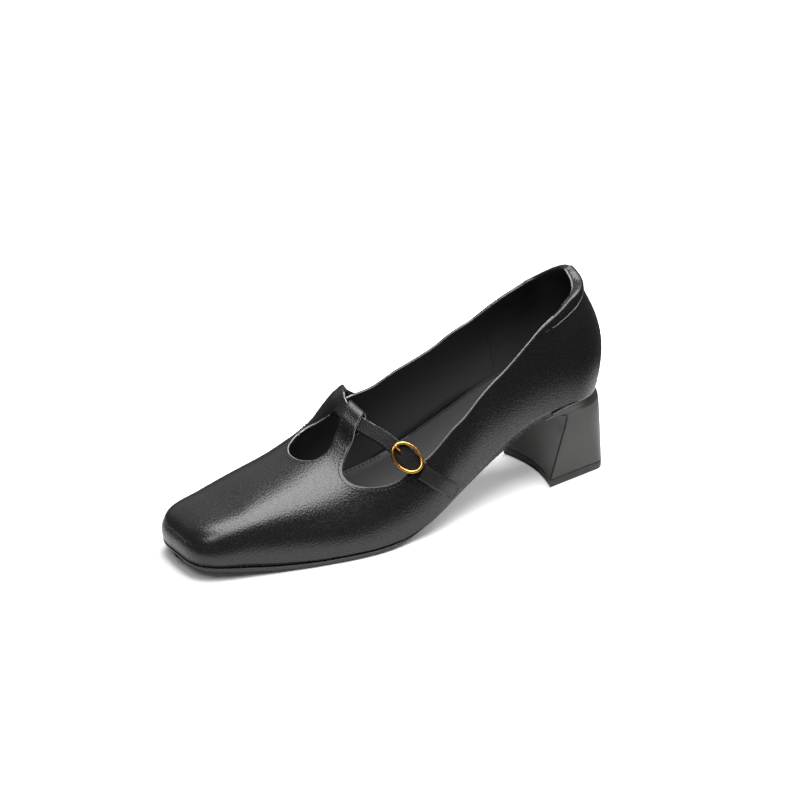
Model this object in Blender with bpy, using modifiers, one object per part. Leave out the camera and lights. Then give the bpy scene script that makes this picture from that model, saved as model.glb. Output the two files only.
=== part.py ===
"""Left T-strap court shoe with a square toe and a flared block heel.

Lengths in the tables are millimetres.  +X runs to the toe, +Y to the lateral side, +Z up.
"""

import math
from collections import namedtuple

import bmesh
import bpy
import numpy as np
from mathutils import Vector
from mathutils.geometry import delaunay_2d_cdt

# Overall sizes of the shoe
MM = 0.001
SHOE_LENGTH = 246.2
GROUND_SHIFT_X = -123.65
GROUND_SHIFT_Y = -1.12

# Walls and gaps
UPPER_WALL = 1.7
PIECE_GAP = 0.3
INSOLE_THICK = 3.0
INSOLE_INSET = 2.7
SOLE_LIP = 0.7
WELD = 0.02
SLIVER = 0.01

# Rounded ends of the plan outline
HEEL_BACK = 2.5
HEEL_CENTRE = 26.0
TOE_CENTRE = 222.0
HEEL_ARC = 40.0
TOE_ARC = 44.0
HEEL_POWER = 2.15
TOE_POWER = 3.8
HEEL_SLOPE = -0.33
TOE_SLOPE = -0.2
HEEL_FULLNESS = 1.32
TOE_FULLNESS = 4.2
SWELL_SPAN = 0.55
CROSS_SPAN = 70.0

# One row per section of the last: feather height, half widths, crown and fullness of each side
Section = namedtuple("Section", "x feather lateral medial crown_y crown_z full_lat full_med swell")
SECTIONS = (
    Section(0.0, 47.6, 25.0, 25.0, 0.0, 146.0, 2.0, 2.0, 4.4),
    Section(26.0, 46.6, 25.6, 25.6, 0.0, 146.0, 2.0, 2.0, 3.8),
    Section(50.0, 41.0, 26.2, 25.6, -1.0, 138.0, 2.8, 2.3, 3.0),
    Section(75.0, 30.2, 28.6, 26.0, -3.0, 124.0, 3.0, 3.2, 2.2),
    Section(100.0, 18.6, 33.8, 27.6, -5.0, 104.0, 2.2, 3.1, 1.4),
    Section(120.0, 9.6, 38.4, 31.0, -6.0, 83.0, 1.85, 2.7, 0.9),
    Section(140.0, 4.0, 39.8, 35.6, -6.5, 62.0, 1.9, 2.8, 0.6),
    Section(152.0, 3.3, 40.2, 37.4, -6.5, 52.6, 2.0, 2.95, 0.5),
    Section(165.0, 3.3, 39.2, 37.9, -5.5, 45.0, 2.1, 2.95, 0.5),
    Section(180.0, 3.3, 36.8, 36.8, -4.0, 40.2, 2.35, 2.8, 0.5),
    Section(205.0, 4.6, 31.6, 32.6, -1.5, 34.6, 3.1, 3.0, 0.5),
    Section(222.0, 6.6, 27.6, 29.2, 0.0, 30.1, 3.9, 3.3, 0.5),
    Section(246.2, 9.2, 22.4, 25.0, 0.0, 24.8, 3.9, 3.3, 0.5),
)

# Topline heights on each side, from the back seam forward
Topline = namedtuple("Topline", "x lateral medial")
TOPLINE = (
    Topline(-14.0, 107.0, 107.0),
    Topline(6.0, 106.4, 105.4),
    Topline(26.0, 103.8, 96.2),
    Topline(42.0, 95.8, 88.4),
    Topline(61.0, 83.0, 79.4),
    Topline(77.0, 72.6, 72.4),
    Topline(92.0, 61.6, 66.1),
    Topline(107.0, 51.0, 60.2),
    Topline(121.0, 41.4, 54.6),
)

# Plan of the cut-outs beside the T-bar, from the topline round to the T-bar
PlanPoint = namedtuple("PlanPoint", "x y")
LATERAL_SCOOP = (
    PlanPoint(131.0, 33.4),
    PlanPoint(139.0, 33.0),
    PlanPoint(147.0, 31.8),
    PlanPoint(154.0, 29.8),
    PlanPoint(158.8, 27.0),
    PlanPoint(161.4, 23.4),
    PlanPoint(161.8, 19.8),
)
MEDIAL_HOLE = (
    PlanPoint(139.5, -28.0),
    PlanPoint(150.0, -26.6),
    PlanPoint(159.5, -24.4),
    PlanPoint(168.5, -19.8),
    PlanPoint(174.0, -13.6),
    PlanPoint(176.0, -6.6),
    PlanPoint(174.8, 0.2),
    PlanPoint(170.0, 4.8),
)

# Centre line and half width of the T-bar up to the strap
TBar = namedtuple("TBar", "x y half")
T_BAR = (
    TBar(160.0, 10.8, 5.9),
    TBar(155.0, 7.0, 5.4),
    TBar(150.0, 3.6, 5.4),
    TBar(144.0, 1.0, 5.6),
)

# Grid pitch of the faceted upper
GRID_ALONG = 6.5
GRID_ACROSS = 5.4
EDGE_PITCH = 3.6
EDGE_CLEAR = 2.0
HEEL_STATIONS = 10
TOE_STATIONS = 13


def column(name):
    """Return one column of the section table."""
    return [getattr(row, name) for row in SECTIONS]


def smooth(xs, ys, x):
    """Interpolate a table with a cubic that keeps level runs level."""
    xs = np.asarray(xs, float)
    ys = np.asarray(ys, float)
    rise = np.diff(ys) / np.diff(xs)
    tangent = np.empty_like(ys)
    tangent[0] = rise[0]
    tangent[-1] = rise[-1]
    before = rise[:-1]
    after = rise[1:]
    same = before * after > 0
    safe = np.where(same, before + after, 1.0)
    tangent[1:-1] = np.where(same, 2.0 * before * after / safe, 0.0)
    x = np.clip(np.asarray(x, float), xs[0], xs[-1])
    i = np.clip(np.searchsorted(xs, x) - 1, 0, len(xs) - 2)
    span = xs[i + 1] - xs[i]
    t = (x - xs[i]) / span
    a = (1.0 + 2.0 * t) * (1.0 - t) ** 2
    b = t * (1.0 - t) ** 2 * span
    c = t * t * (3.0 - 2.0 * t)
    d = t * t * (t - 1.0) * span
    return a * ys[i] + b * tangent[i] + c * ys[i + 1] + d * tangent[i + 1]


COLUMN_X = column("x")
COLUMNS = {name: column(name) for name in Section._fields}


def at(name, x):
    """Value of a section column at x."""
    return float(smooth(COLUMN_X, COLUMNS[name], x))


Station = namedtuple("Station", "foot crown full swell slope")


def station(s, side):
    """Foot point, crown point and profile of the last at arc length s on one side."""
    width = "lateral" if side > 0 else "medial"
    full = "full_lat" if side > 0 else "full_med"
    if s > TOE_CENTRE:
        turn = math.pi / 2 * max(0.0, 1.0 - (s - TOE_CENTRE) / TOE_ARC)
        reach = math.cos(turn) ** (2.0 / TOE_POWER)
        x = TOE_CENTRE + (SHOE_LENGTH - TOE_CENTRE) * reach
        half = at(width, x) * math.sin(turn) ** (2.0 / TOE_POWER)
        centre = TOE_CENTRE
        share = math.cos(turn)
        fullness = at(full, centre) * (1.0 - share) + TOE_FULLNESS * share
        slope = TOE_SLOPE
    elif s < HEEL_CENTRE:
        turn = math.pi / 2 * max(0.0, 1.0 - (HEEL_CENTRE - s) / HEEL_ARC)
        reach = math.cos(turn) ** (2.0 / HEEL_POWER)
        x = HEEL_CENTRE - (HEEL_CENTRE - HEEL_BACK) * reach
        half = at(width, x) * math.sin(turn) ** (2.0 / HEEL_POWER)
        centre = HEEL_CENTRE
        share = math.cos(turn)
        fullness = at(full, centre) * (1.0 - share) + HEEL_FULLNESS * share
        slope = HEEL_SLOPE
    else:
        x = s
        half = at(width, x)
        centre = x
        fullness = at(full, x)
        slope = 0.0
    foot = (x, side * half, at("feather", x))
    crown = (centre, at("crown_y", centre), at("crown_z", centre))
    return Station(foot, crown, fullness, at("swell", x), slope)


def last_point(s, c):
    """Point of the last: c runs from -1 at the medial feather over 0 at the crown to 1."""
    st = station(s, 1.0 if c >= 0 else -1.0)
    turn = max(0.0, 1.0 - abs(c)) * math.pi / 2
    run = max(math.cos(turn), 0.0) ** (2.0 / st.full)
    rise = math.sin(turn) ** (2.0 / st.full)
    dx = st.foot[0] - st.crown[0]
    dy = st.foot[1] - st.crown[1]
    reach = math.hypot(dx, dy)
    out = run + st.swell * math.sin(math.pi * min(1.0, rise / SWELL_SPAN)) / reach
    x = st.crown[0] + dx * out
    y = st.crown[1] + dy * out
    low = st.foot[2] - st.slope * dx
    z = low + (st.crown[2] - low) * rise + st.slope * (x - st.crown[0])
    return np.array((x, y, z))


def solve_c(s, side, axis, value):
    """Cross coordinate on one side at which the last reaches a height or a width."""
    low = 0.0
    high = 1.0
    for _ in range(40):
        middle = (low + high) / 2
        here = last_point(s, side * max(middle, 1e-6))[axis]
        beyond = here > value if axis == 2 else side * here < side * value
        if beyond:
            low = middle
        else:
            high = middle
    return side * (low + high) / 2


def cross_at_y(x, y):
    """Cross coordinate of the last under a plan point."""
    crown = at("crown_y", x)
    return solve_c(x, 1.0 if y >= crown else -1.0, 1, y)


def spline(points, pitch):
    """Even samples of a smooth curve through a list of plan points."""
    pts = np.asarray(points, float)
    chord = np.concatenate(((0.0,), np.cumsum(np.linalg.norm(np.diff(pts, axis=0), axis=1))))
    slope = np.gradient(pts, chord, axis=0)
    count = max(2, int(round(chord[-1] / pitch)))
    t = np.linspace(0.0, chord[-1], count + 1)
    i = np.clip(np.searchsorted(chord, t, side="right") - 1, 0, len(pts) - 2)
    span = (chord[i + 1] - chord[i])[:, None]
    u = (t - chord[i])[:, None] / span
    a = (1.0 + 2.0 * u) * (1.0 - u) ** 2
    b = u * (1.0 - u) ** 2 * span
    c = u * u * (3.0 - 2.0 * u)
    d = u * u * (u - 1.0) * span
    return a * pts[i] + b * slope[i] + c * pts[i + 1] + d * slope[i + 1]


# Centre line of the cross strap from the medial quarter over the T-bar to the buckle
StrapPoint = namedtuple("StrapPoint", "x y z")
STRAP_PATH = (
    StrapPoint(126.5, -33.2, 42.4),
    StrapPoint(129.5, -31.75, 50.2),
    StrapPoint(135.5, -27.0, 58.4),
    StrapPoint(141.5, -18.5, 62.8),
    StrapPoint(145.4, -8.6, 60.0),
    StrapPoint(144.8, 1.0, 57.2),
    StrapPoint(142.4, 10.5, 55.8),
    StrapPoint(138.0, 19.3, 53.0),
    StrapPoint(132.4, 27.8, 47.0),
    StrapPoint(126.2, 36.0, 38.8),
)
STRAP_KNOT = 5

# Fold of the T-bar end round the cross strap: along the T-bar from the strap centre, and outward
Fold = namedtuple("Fold", "along out")
FOLD = (
    Fold(12.0, 0.0),
    Fold(9.0, 0.6),
    Fold(6.4, 2.2),
    Fold(4.6, 3.0),
    Fold(0.0, 3.1),
    Fold(-4.2, 3.1),
    Fold(-6.1, 2.5),
    Fold(-7.1, 0.9),
    Fold(-7.1, -0.9),
    Fold(-6.1, -2.5),
    Fold(-4.2, -3.1),
    Fold(0.0, -3.1),
    Fold(4.0, -3.1),
)
STRAP_CROSS_X = 144.6
FOLD_START_X = 153.6
FLAT_START_X = 159.0


def t_bar_at(name, x):
    """Value of a T-bar column at x."""
    rows = sorted(T_BAR, key=lambda row: row.x)
    return float(smooth([r.x for r in rows], [getattr(r, name) for r in rows], x))


class TBarFrame:
    """Local axes of the T-bar where it crosses the strap."""

    def __init__(self):
        self.origin = self.centre(STRAP_CROSS_X)
        start = self.centre(FOLD_START_X)
        self.scale = float(np.linalg.norm(start - self.origin)) / FOLD[0].along
        self.along = (start - self.origin) / np.linalg.norm(start - self.origin)
        across = np.subtract(STRAP_PATH[STRAP_KNOT + 1], STRAP_PATH[STRAP_KNOT - 1])
        self.across = across / np.linalg.norm(across)
        out = np.cross(self.along, self.across)
        self.out = out / np.linalg.norm(out)
        pts = np.array([(f.along * self.scale, f.out) for f in FOLD])
        pieces = np.linalg.norm(np.diff(pts, axis=0), axis=1)
        self.stops = np.concatenate(((0.0,), np.cumsum(pieces)))
        self.points = pts

    @staticmethod
    def centre(x):
        """Point of the T-bar centre line on the last."""
        return last_point(x, cross_at_y(x, t_bar_at("y", x)))

    def fold_point(self, travelled, offset):
        """Point of the folded strip after a travelled length, offset across the strip."""
        a = float(np.interp(travelled, self.stops, self.points[:, 0]))
        n = float(np.interp(travelled, self.stops, self.points[:, 1]))
        return self.origin + self.along * a + self.out * n + self.across * offset


FRAME = TBarFrame()


def strip_share(s, side):
    """Cross coordinate of one T-bar edge."""
    return cross_at_y(s, t_bar_at("y", s) + side * t_bar_at("half", s))


STRIP_LOW = CROSS_SPAN * strip_share(FOLD_START_X, -1.0)
STRIP_HIGH = CROSS_SPAN * strip_share(FOLD_START_X, 1.0)
STRIP_Q = (STRIP_LOW + STRIP_HIGH) / 2
STRIP_HALF_Q = (STRIP_HIGH - STRIP_LOW) / 2
STRIP_END = FOLD_START_X - FRAME.stops[-1]


def opening_edges():
    """Lateral and medial edges of the opening in the plane of s and cross span."""
    back = HEEL_CENTRE - HEEL_ARC
    lateral = []
    medial = []
    for row in TOPLINE:
        s = max(row.x, back)
        lateral.append((s, CROSS_SPAN * solve_c(s, 1.0, 2, row.lateral)))
        medial.append((s, CROSS_SPAN * solve_c(s, -1.0, 2, row.medial)))
    for row in LATERAL_SCOOP:
        lateral.append((row.x, CROSS_SPAN * cross_at_y(row.x, row.y)))
    for row in MEDIAL_HOLE:
        medial.append((row.x, CROSS_SPAN * cross_at_y(row.x, row.y)))
    for row in T_BAR:
        if row.x > FOLD_START_X:
            lateral.append((row.x, CROSS_SPAN * strip_share(row.x, 1.0)))
            medial.append((row.x, CROSS_SPAN * strip_share(row.x, -1.0)))
    lateral.append((FOLD_START_X, STRIP_Q + STRIP_HALF_Q))
    medial.append((FOLD_START_X, STRIP_Q - STRIP_HALF_Q))
    return lateral, medial


def upper_point(s, q):
    """Point of the upper's outer face, with the T-bar end folded round the strap."""
    on_strip = abs(q - STRIP_Q) < 2.0 * STRIP_HALF_Q
    if on_strip and STRIP_END - 1.0 < s < FLAT_START_X:
        return t_bar_point(s, q)
    return last_point(s, q / CROSS_SPAN)


def t_bar_point(s, q):
    """Point of the T-bar, easing from the last to a flat strip before the fold."""
    if s <= FOLD_START_X:
        offset = (q - STRIP_Q) / STRIP_HALF_Q * t_bar_at("half", FOLD_START_X)
        return FRAME.fold_point(FOLD_START_X - s, offset)
    low = CROSS_SPAN * strip_share(s, -1.0)
    high = CROSS_SPAN * strip_share(s, 1.0)
    offset = (2.0 * (q - low) / (high - low) - 1.0) * t_bar_at("half", s)
    flat = FRAME.centre(s) + FRAME.across * offset
    share = (FLAT_START_X - s) / (FLAT_START_X - FOLD_START_X)
    share = share * share * (3.0 - 2.0 * share)
    return flat * share + last_point(s, q / CROSS_SPAN) * (1.0 - share)


def upper_domain():
    """Closed outline of the upper in the plane of s and cross span, and its inner grid."""
    back = HEEL_CENTRE - HEEL_ARC
    front = TOE_CENTRE + TOE_ARC
    lateral, medial = opening_edges()
    left = [tuple(p) for p in spline(lateral, EDGE_PITCH)]
    right = [tuple(p) for p in spline(medial, EDGE_PITCH)]
    stops = FOLD_START_X - FRAME.stops[1:]
    strip_left = [(float(s), STRIP_Q + STRIP_HALF_Q) for s in stops]
    strip_right = [(float(s), STRIP_Q - STRIP_HALF_Q) for s in stops]
    left[0] = (back, left[0][1])
    right[0] = (back, -left[0][1])
    seam = left[0][1]
    rows = max(2, int(round((CROSS_SPAN - seam) / GRID_ACROSS)))
    seam_q = np.linspace(seam, CROSS_SPAN, rows + 1)
    toe_q = np.linspace(-CROSS_SPAN, CROSS_SPAN, 2 * int(round(CROSS_SPAN / GRID_ACROSS)) + 1)
    along = feather_stations()
    ring = left + strip_left + strip_right[::-1] + right[::-1]
    ring += [(back, -float(q)) for q in seam_q[1:]]
    ring += [(float(s), -CROSS_SPAN) for s in along[1:-1]]
    ring += [(front, float(q)) for q in toe_q]
    ring += [(float(s), CROSS_SPAN) for s in along[-2:0:-1]]
    ring += [(back, float(q)) for q in seam_q[:0:-1]]
    inner = [(float(s), STRIP_Q) for s in stops[:-1]] + [(FOLD_START_X, STRIP_Q)]
    outline = np.array(ring)
    levels = np.arange(-CROSS_SPAN + GRID_ACROSS, CROSS_SPAN - 0.1, GRID_ACROSS)
    for s in along[1:-1]:
        for q in levels:
            near_pole = s > TOE_CENTRE and abs(q) < GRID_ACROSS * 1.5
            if not near_pole and clear_inside(outline, s, q):
                inner.append((float(s), float(q)))
    return ring, inner


def feather_stations():
    """Stations along the feather line, closer round the toe and the heel."""
    back = HEEL_CENTRE - HEEL_ARC
    front = TOE_CENTRE + TOE_ARC
    heel = np.linspace(back, HEEL_CENTRE, HEEL_STATIONS)
    side = np.linspace(HEEL_CENTRE, TOE_CENTRE, int(round((TOE_CENTRE - HEEL_CENTRE) / GRID_ALONG)) + 1)
    toe = np.linspace(TOE_CENTRE, front, TOE_STATIONS)
    return np.concatenate((heel, side[1:], toe[1:]))


def clear_inside(outline, s, q):
    """True where a grid point lies inside the outline and clear of its edge."""
    a = outline
    b = np.roll(outline, -1, axis=0)
    spans = (a[:, 1] > q) != (b[:, 1] > q)
    rise = np.where(b[:, 1] == a[:, 1], 1.0, b[:, 1] - a[:, 1])
    hits = spans & (s < (b[:, 0] - a[:, 0]) * (q - a[:, 1]) / rise + a[:, 0])
    if np.count_nonzero(hits) % 2 == 0:
        return False
    run = b - a
    length = np.maximum((run * run).sum(axis=1), 1e-9)
    t = np.clip(((np.array((s, q)) - a) * run).sum(axis=1) / length, 0.0, 1.0)
    near = a + run * t[:, None]
    return float(np.min(np.hypot(near[:, 0] - s, near[:, 1] - q))) > EDGE_CLEAR


# Outsole: thickness under the feather line and how far its lower edge tucks in
SoleRow = namedtuple("SoleRow", "x thick tuck")
SOLE_ROWS = (
    SoleRow(47.0, 2.6, 4.0),
    SoleRow(90.0, 2.6, 4.0),
    SoleRow(125.0, 2.8, 2.4),
    SoleRow(150.0, 3.0, 1.0),
    SoleRow(245.0, 3.0, 0.8),
)
SOLE_BACK = 47.0

# Heel block: outline at shares of the height from the top piece to the seat
HeelLevel = namedtuple("HeelLevel", "share back front half_front half_back turn power hollow")
HEEL_LEVELS = (
    HeelLevel(1.00, 3.0, 46.6, 26.0, 25.0, 25.6, 2.15, 0.0),
    HeelLevel(0.94, 2.2, 42.6, 25.4, 24.2, 25.0, 2.15, 0.8),
    HeelLevel(0.90, 1.2, 34.6, 24.8, 23.2, 23.4, 2.15, 2.0),
    HeelLevel(0.84, 1.1, 30.8, 24.2, 22.2, 21.0, 2.2, 2.8),
    HeelLevel(0.50, 0.4, 33.2, 22.8, 18.8, 14.0, 2.4, 3.8),
    HeelLevel(0.25, 0.4, 36.0, 22.4, 17.2, 10.5, 2.5, 4.0),
    HeelLevel(0.00, 0.4, 39.4, 22.8, 16.4, 8.0, 2.6, 4.0),
)
TOP_PIECE_THICK = 4.0
HEEL_BASE = 4.2
BREAST_STEPS = 8
SIDE_STEPS = 4
TURN_STEPS = 6

# Straps and buckle
STRAP_HALF = 3.9
STRAP_THICK = 1.6
STRAP_AXIS_Y = -4.0
STRAP_AXIS_Z = 24.0
STRAP_TILT = 0.64
STRAP_PITCH = 3.0
TAB_THICK = 1.1
TAB_LIFT = 0.4
TAB_HALF = 4.0
RING_LONG = 8.4
RING_WIDE = 6.1
RING_WIRE = 0.75
RING_POINTS = 28
RING_LIFT = 1.9
RING_BEND = 0.5
BAR_WIRE = 0.55
PRONG_WIRE = 0.6
BUCKLE_STOP = 9.0

# Centre bar of the buckle under the strap: across the ring and outward from the strap
BarPoint = namedtuple("BarPoint", "across out")
BAR_PATH = (
    BarPoint(-6.1, 1.4),
    BarPoint(-5.4, -0.8),
    BarPoint(-4.5, -1.7),
    BarPoint(4.5, -1.7),
    BarPoint(5.4, -0.8),
    BarPoint(6.1, 1.4),
)

# Prong from the bar over the strap to the ring: along the strap and outward from it
ProngPoint = namedtuple("ProngPoint", "along out")
PRONG_PATH = (
    ProngPoint(-0.6, 1.75),
    ProngPoint(-2.6, 1.75),
    ProngPoint(-5.2, 2.5),
    ProngPoint(-7.2, 3.4),
    ProngPoint(-9.0, 3.3),
)

# Centre line of the buckle strap on the lateral quarter
TabPoint = namedtuple("TabPoint", "x z")
TAB_LINE = (
    TabPoint(124.4, 36.6),
    TabPoint(114.2, 28.0),
    TabPoint(104.4, 19.6),
)

# Finishes: name, colour, roughness, metallic
Finish = namedtuple("Finish", "name colour roughness metallic")
LEATHER = Finish("black_leather", (0.016, 0.016, 0.017), 0.42, 0.0)
HEEL_COVER = Finish("heel_cover", (0.07, 0.071, 0.062), 0.38, 0.0)
RUBBER = Finish("black_rubber", (0.02, 0.02, 0.02), 0.7, 0.0)
SOLE_FINISH = Finish("dark_sole", (0.03, 0.026, 0.024), 0.55, 0.0)
SOCK = Finish("grey_sock", (0.065, 0.065, 0.07), 0.6, 0.0)
GOLD = Finish("gold_metal", (0.83, 0.56, 0.2), 0.25, 1.0)


def clear_scene():
    """Remove every object that is already in the scene."""
    for obj in list(bpy.data.objects):
        bpy.data.objects.remove(obj, do_unlink=True)


def make_collection(name):
    """Return a new collection linked to the scene."""
    group = bpy.data.collections.new(name)
    bpy.context.scene.collection.children.link(group)
    return group


def make_material(finish, owner):
    """Principled material of a finish for one piece."""
    mat = bpy.data.materials.new(f"{finish.name}_{owner}")
    mat.use_nodes = True
    shader = mat.node_tree.nodes["Principled BSDF"]
    shader.inputs["Base Color"].default_value = (*finish.colour, 1.0)
    shader.inputs["Roughness"].default_value = finish.roughness
    shader.inputs["Metallic"].default_value = finish.metallic
    mat.diffuse_color = (*finish.colour, 1.0)
    return mat


def place(point):
    """Millimetre point in the shoe's frame, in metres."""
    shift = (GROUND_SHIFT_X, GROUND_SHIFT_Y, 0.0)
    return Vector([(float(p) + d) * MM for p, d in zip(point, shift)])


def add_piece(group, name, verts, faces, finish):
    """Closed mesh object from placed vertices and faces, turned outward."""
    mesh = bpy.data.meshes.new(name)
    bm = bmesh.new()
    made = [bm.verts.new(place(v)) for v in verts]
    for face in faces:
        corners = [made[i] for i in dict.fromkeys(face)]
        if len(corners) > 2 and bm.faces.get(corners) is None:
            bm.faces.new(corners)
    bmesh.ops.remove_doubles(bm, verts=bm.verts, dist=WELD * MM)
    bmesh.ops.dissolve_degenerate(bm, edges=bm.edges, dist=SLIVER * MM)
    bmesh.ops.recalc_face_normals(bm, faces=bm.faces)
    bm.to_mesh(mesh)
    bm.free()
    return link_piece(group, name, mesh, finish)


def link_piece(group, name, mesh, finish):
    """Object of a mesh with its own material, linked to the collection."""
    mesh.name = name
    mesh.materials.clear()
    mesh.materials.append(make_material(finish, name))
    obj = bpy.data.objects.new(name, mesh)
    group.objects.link(obj)
    return obj


def thicken(obj, thickness, offset):
    """Give a sheet its thickness with a Solidify modifier and keep the result."""
    mod = obj.modifiers.new("wall", "SOLIDIFY")
    mod.thickness = thickness * MM
    mod.offset = offset
    mod.use_even_offset = False
    mod.use_quality_normals = True
    return bake(obj)


def bake(obj):
    """Replace an object's mesh by its evaluated mesh and drop its modifiers."""
    graph = bpy.context.evaluated_depsgraph_get()
    mesh = bpy.data.meshes.new_from_object(obj.evaluated_get(graph))
    old = obj.data
    obj.modifiers.clear()
    obj.data = mesh
    mesh.name = obj.name
    bpy.data.meshes.remove(old)
    return obj


def build_upper(group):
    """Hollow upper: vamp, quarters and T-bar in one sheet, open below and at the collar."""
    ring, inner = upper_domain()
    count = len(ring)
    points = [Vector(p) for p in ring + inner]
    edges = [(i, (i + 1) % count) for i in range(count)]
    verts, _, faces, _, _, _ = delaunay_2d_cdt(points, edges, [], 1, 1e-6)
    solid = [upper_point(v.x, v.y) for v in verts]
    obj = add_piece(group, "upper", solid, [tuple(f) for f in faces], LEATHER)
    face_outward(obj.data)
    return thicken(obj, UPPER_WALL, -1.0)


def face_outward(mesh):
    """Turn the sheet so that its normals point away from the inside of the shoe."""
    bm = bmesh.new()
    bm.from_mesh(mesh)
    bm.faces.ensure_lookup_table()
    toe = max(bm.faces, key=lambda f: f.calc_center_median().x)
    if toe.normal.x < 0:
        bmesh.ops.reverse_faces(bm, faces=bm.faces)
    bm.to_mesh(mesh)
    bm.free()


def outline_pair(s, spread):
    """Lateral and medial points of the plan outline at s, spread outward."""
    pair = []
    for side in (1.0, -1.0):
        st = station(s, side)
        dx = st.foot[0] - st.crown[0]
        dy = st.foot[1]
        reach = math.hypot(dx, dy)
        pair.append((st.foot[0] + dx / reach * spread, st.foot[1] + dy / reach * spread))
    return pair


def sole_at(name, x):
    """Value of a sole column at x."""
    return float(smooth([r.x for r in SOLE_ROWS], [getattr(r, name) for r in SOLE_ROWS], x))


def slab(stations, top_of, bottom_of, spread_top, spread_bottom):
    """Vertices and faces of a curved slab that follows the plan outline."""
    verts = []
    for s in stations:
        for spread, height in ((spread_top, top_of), (spread_bottom, bottom_of)):
            x_here = station(s, 1.0).foot[0]
            for x, y in outline_pair(s, spread(x_here)):
                verts.append((x, y, height(x)))
    faces = []
    for k in range(len(stations) - 1):
        a = 4 * k
        b = a + 4
        faces += [(a, b, b + 1, a + 1), (a + 2, a + 3, b + 3, b + 2)]
        faces += [(a, a + 2, b + 2, b), (a + 1, b + 1, b + 3, a + 3)]
    end = 4 * (len(stations) - 1)
    faces += [(0, 1, 3, 2), (end, end + 2, end + 3, end + 1)]
    return verts, faces


def build_outsole(group):
    """Outsole from the toe back to the heel breast."""
    stations = [SOLE_BACK] + [float(s) for s in feather_stations() if s > SOLE_BACK + 2.0]

    def top(x):
        return at("feather", x) - PIECE_GAP

    def bottom(x):
        return at("feather", x) - PIECE_GAP - sole_at("thick", x)

    def lip(x):
        return SOLE_LIP

    def tucked(x):
        return SOLE_LIP - sole_at("tuck", x)

    verts, faces = slab(stations, top, bottom, lip, tucked)
    return add_piece(group, "outsole", verts, faces, SOLE_FINISH)


def build_insole(group):
    """Insole that closes the upper from inside."""
    stations = [float(s) for s in feather_stations()]

    def top(x):
        return at("feather", x) + INSOLE_THICK

    def bottom(x):
        return at("feather", x)

    def inset(x):
        return -INSOLE_INSET

    verts, faces = slab(stations, top, bottom, inset, inset)
    return add_piece(group, "insole", verts, faces, SOCK)


def heel_ring(level):
    """Plan of the heel at one level: lateral side, back, medial side and hollow breast."""
    span = level.front - level.back

    def half(x):
        share = (x - level.back) / span
        width = level.half_back + (level.half_front - level.half_back) * share
        lack = max(0.0, 1.0 - (x - level.back) / level.turn)
        return width * max(0.0, 1.0 - lack ** level.power) ** (1.0 / level.power)

    straight = np.linspace(level.front, level.back + level.turn, SIDE_STEPS + 1)
    angles = np.linspace(0.0, math.pi / 2, TURN_STEPS + 1)[1:]
    turned = [level.back + level.turn * (1.0 - math.sin(a) ** (2.0 / level.power)) for a in angles]
    xs = [float(x) for x in straight] + turned
    lateral = [(x, half(x)) for x in xs]
    medial = [(x, -half(x)) for x in xs[-2::-1]]
    across = np.linspace(-1.0, 1.0, BREAST_STEPS + 1)[1:-1]
    breast = [(level.front - level.hollow * (1.0 - u * u), u * half(level.front)) for u in across]
    return lateral + medial + breast


def cap(first, sides):
    """Faces that close a heel ring by strips between its two sides."""
    total = 2 * sides - 1 + BREAST_STEPS - 1
    faces = []
    for k in range(1, sides - 1):
        a = first + k
        b = first + 2 * sides - 2 - k
        faces.append((a, a + 1, b - 1, b))
    front = [first, first + 1, first + 2 * sides - 3]
    front += [first + k for k in range(2 * sides - 2, total)]
    faces.append(tuple(front))
    return faces


def build_heel(group):
    """Flared heel block under the seat."""
    sides = SIDE_STEPS + 1 + TURN_STEPS
    verts = []
    for level in HEEL_LEVELS:
        for x, y in heel_ring(level):
            seat = at("feather", x) - PIECE_GAP
            verts.append((x, y, HEEL_BASE + level.share * (seat - HEEL_BASE)))
    total = 2 * sides - 1 + BREAST_STEPS - 1
    faces = cap(0, sides) + cap(total * (len(HEEL_LEVELS) - 1), sides)
    for k in range(len(HEEL_LEVELS) - 1):
        for j in range(total):
            a = k * total + j
            b = k * total + (j + 1) % total
            faces.append((a, b, b + total, a + total))
    return add_piece(group, "heel", verts, faces, HEEL_COVER)


def build_top_piece(group):
    """Rubber top piece under the heel."""
    sides = SIDE_STEPS + 1 + TURN_STEPS
    plan = heel_ring(HEEL_LEVELS[-1])
    total = len(plan)
    verts = [(x, y, TOP_PIECE_THICK) for x, y in plan] + [(x, y, 0.0) for x, y in plan]
    faces = cap(0, sides) + cap(total, sides)
    for j in range(total):
        k = (j + 1) % total
        faces.append((j, k, k + total, j + total))
    return add_piece(group, "heel_top_piece", verts, faces, RUBBER)


def strap_frames():
    """Centre points, run, across and outward directions along the cross strap."""
    path = spline([tuple(p) for p in STRAP_PATH], STRAP_PITCH)
    run = np.gradient(path, axis=0)
    run /= np.linalg.norm(run, axis=1)[:, None]
    axis = np.stack([path[:, 0], np.full(len(path), STRAP_AXIS_Y), np.full(len(path), STRAP_AXIS_Z)], 1)
    out = path - axis
    out[:, 0] = out[:, 2] * STRAP_TILT
    out -= run * (out * run).sum(axis=1)[:, None]
    out /= np.linalg.norm(out, axis=1)[:, None]
    across = np.cross(out, run)
    return path, run, across, out


def build_strap(group):
    """Cross strap swept along its path with a flat section."""
    path, _, across, out = strap_frames()
    half = STRAP_THICK / 2
    verts = []
    for p, a, n in zip(path, across, out):
        for i, j in ((1, 1), (-1, 1), (-1, -1), (1, -1)):
            verts.append(tuple(p + a * STRAP_HALF * i + n * half * j))
    faces = [(0, 1, 2, 3), tuple(len(verts) - k for k in (1, 2, 3, 4))]
    for k in range(len(path) - 1):
        for j in range(4):
            a = 4 * k + j
            b = 4 * k + (j + 1) % 4
            faces.append((a, b, b + 4, a + 4))
    return add_piece(group, "instep_strap", verts, faces, LEATHER)


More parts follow.
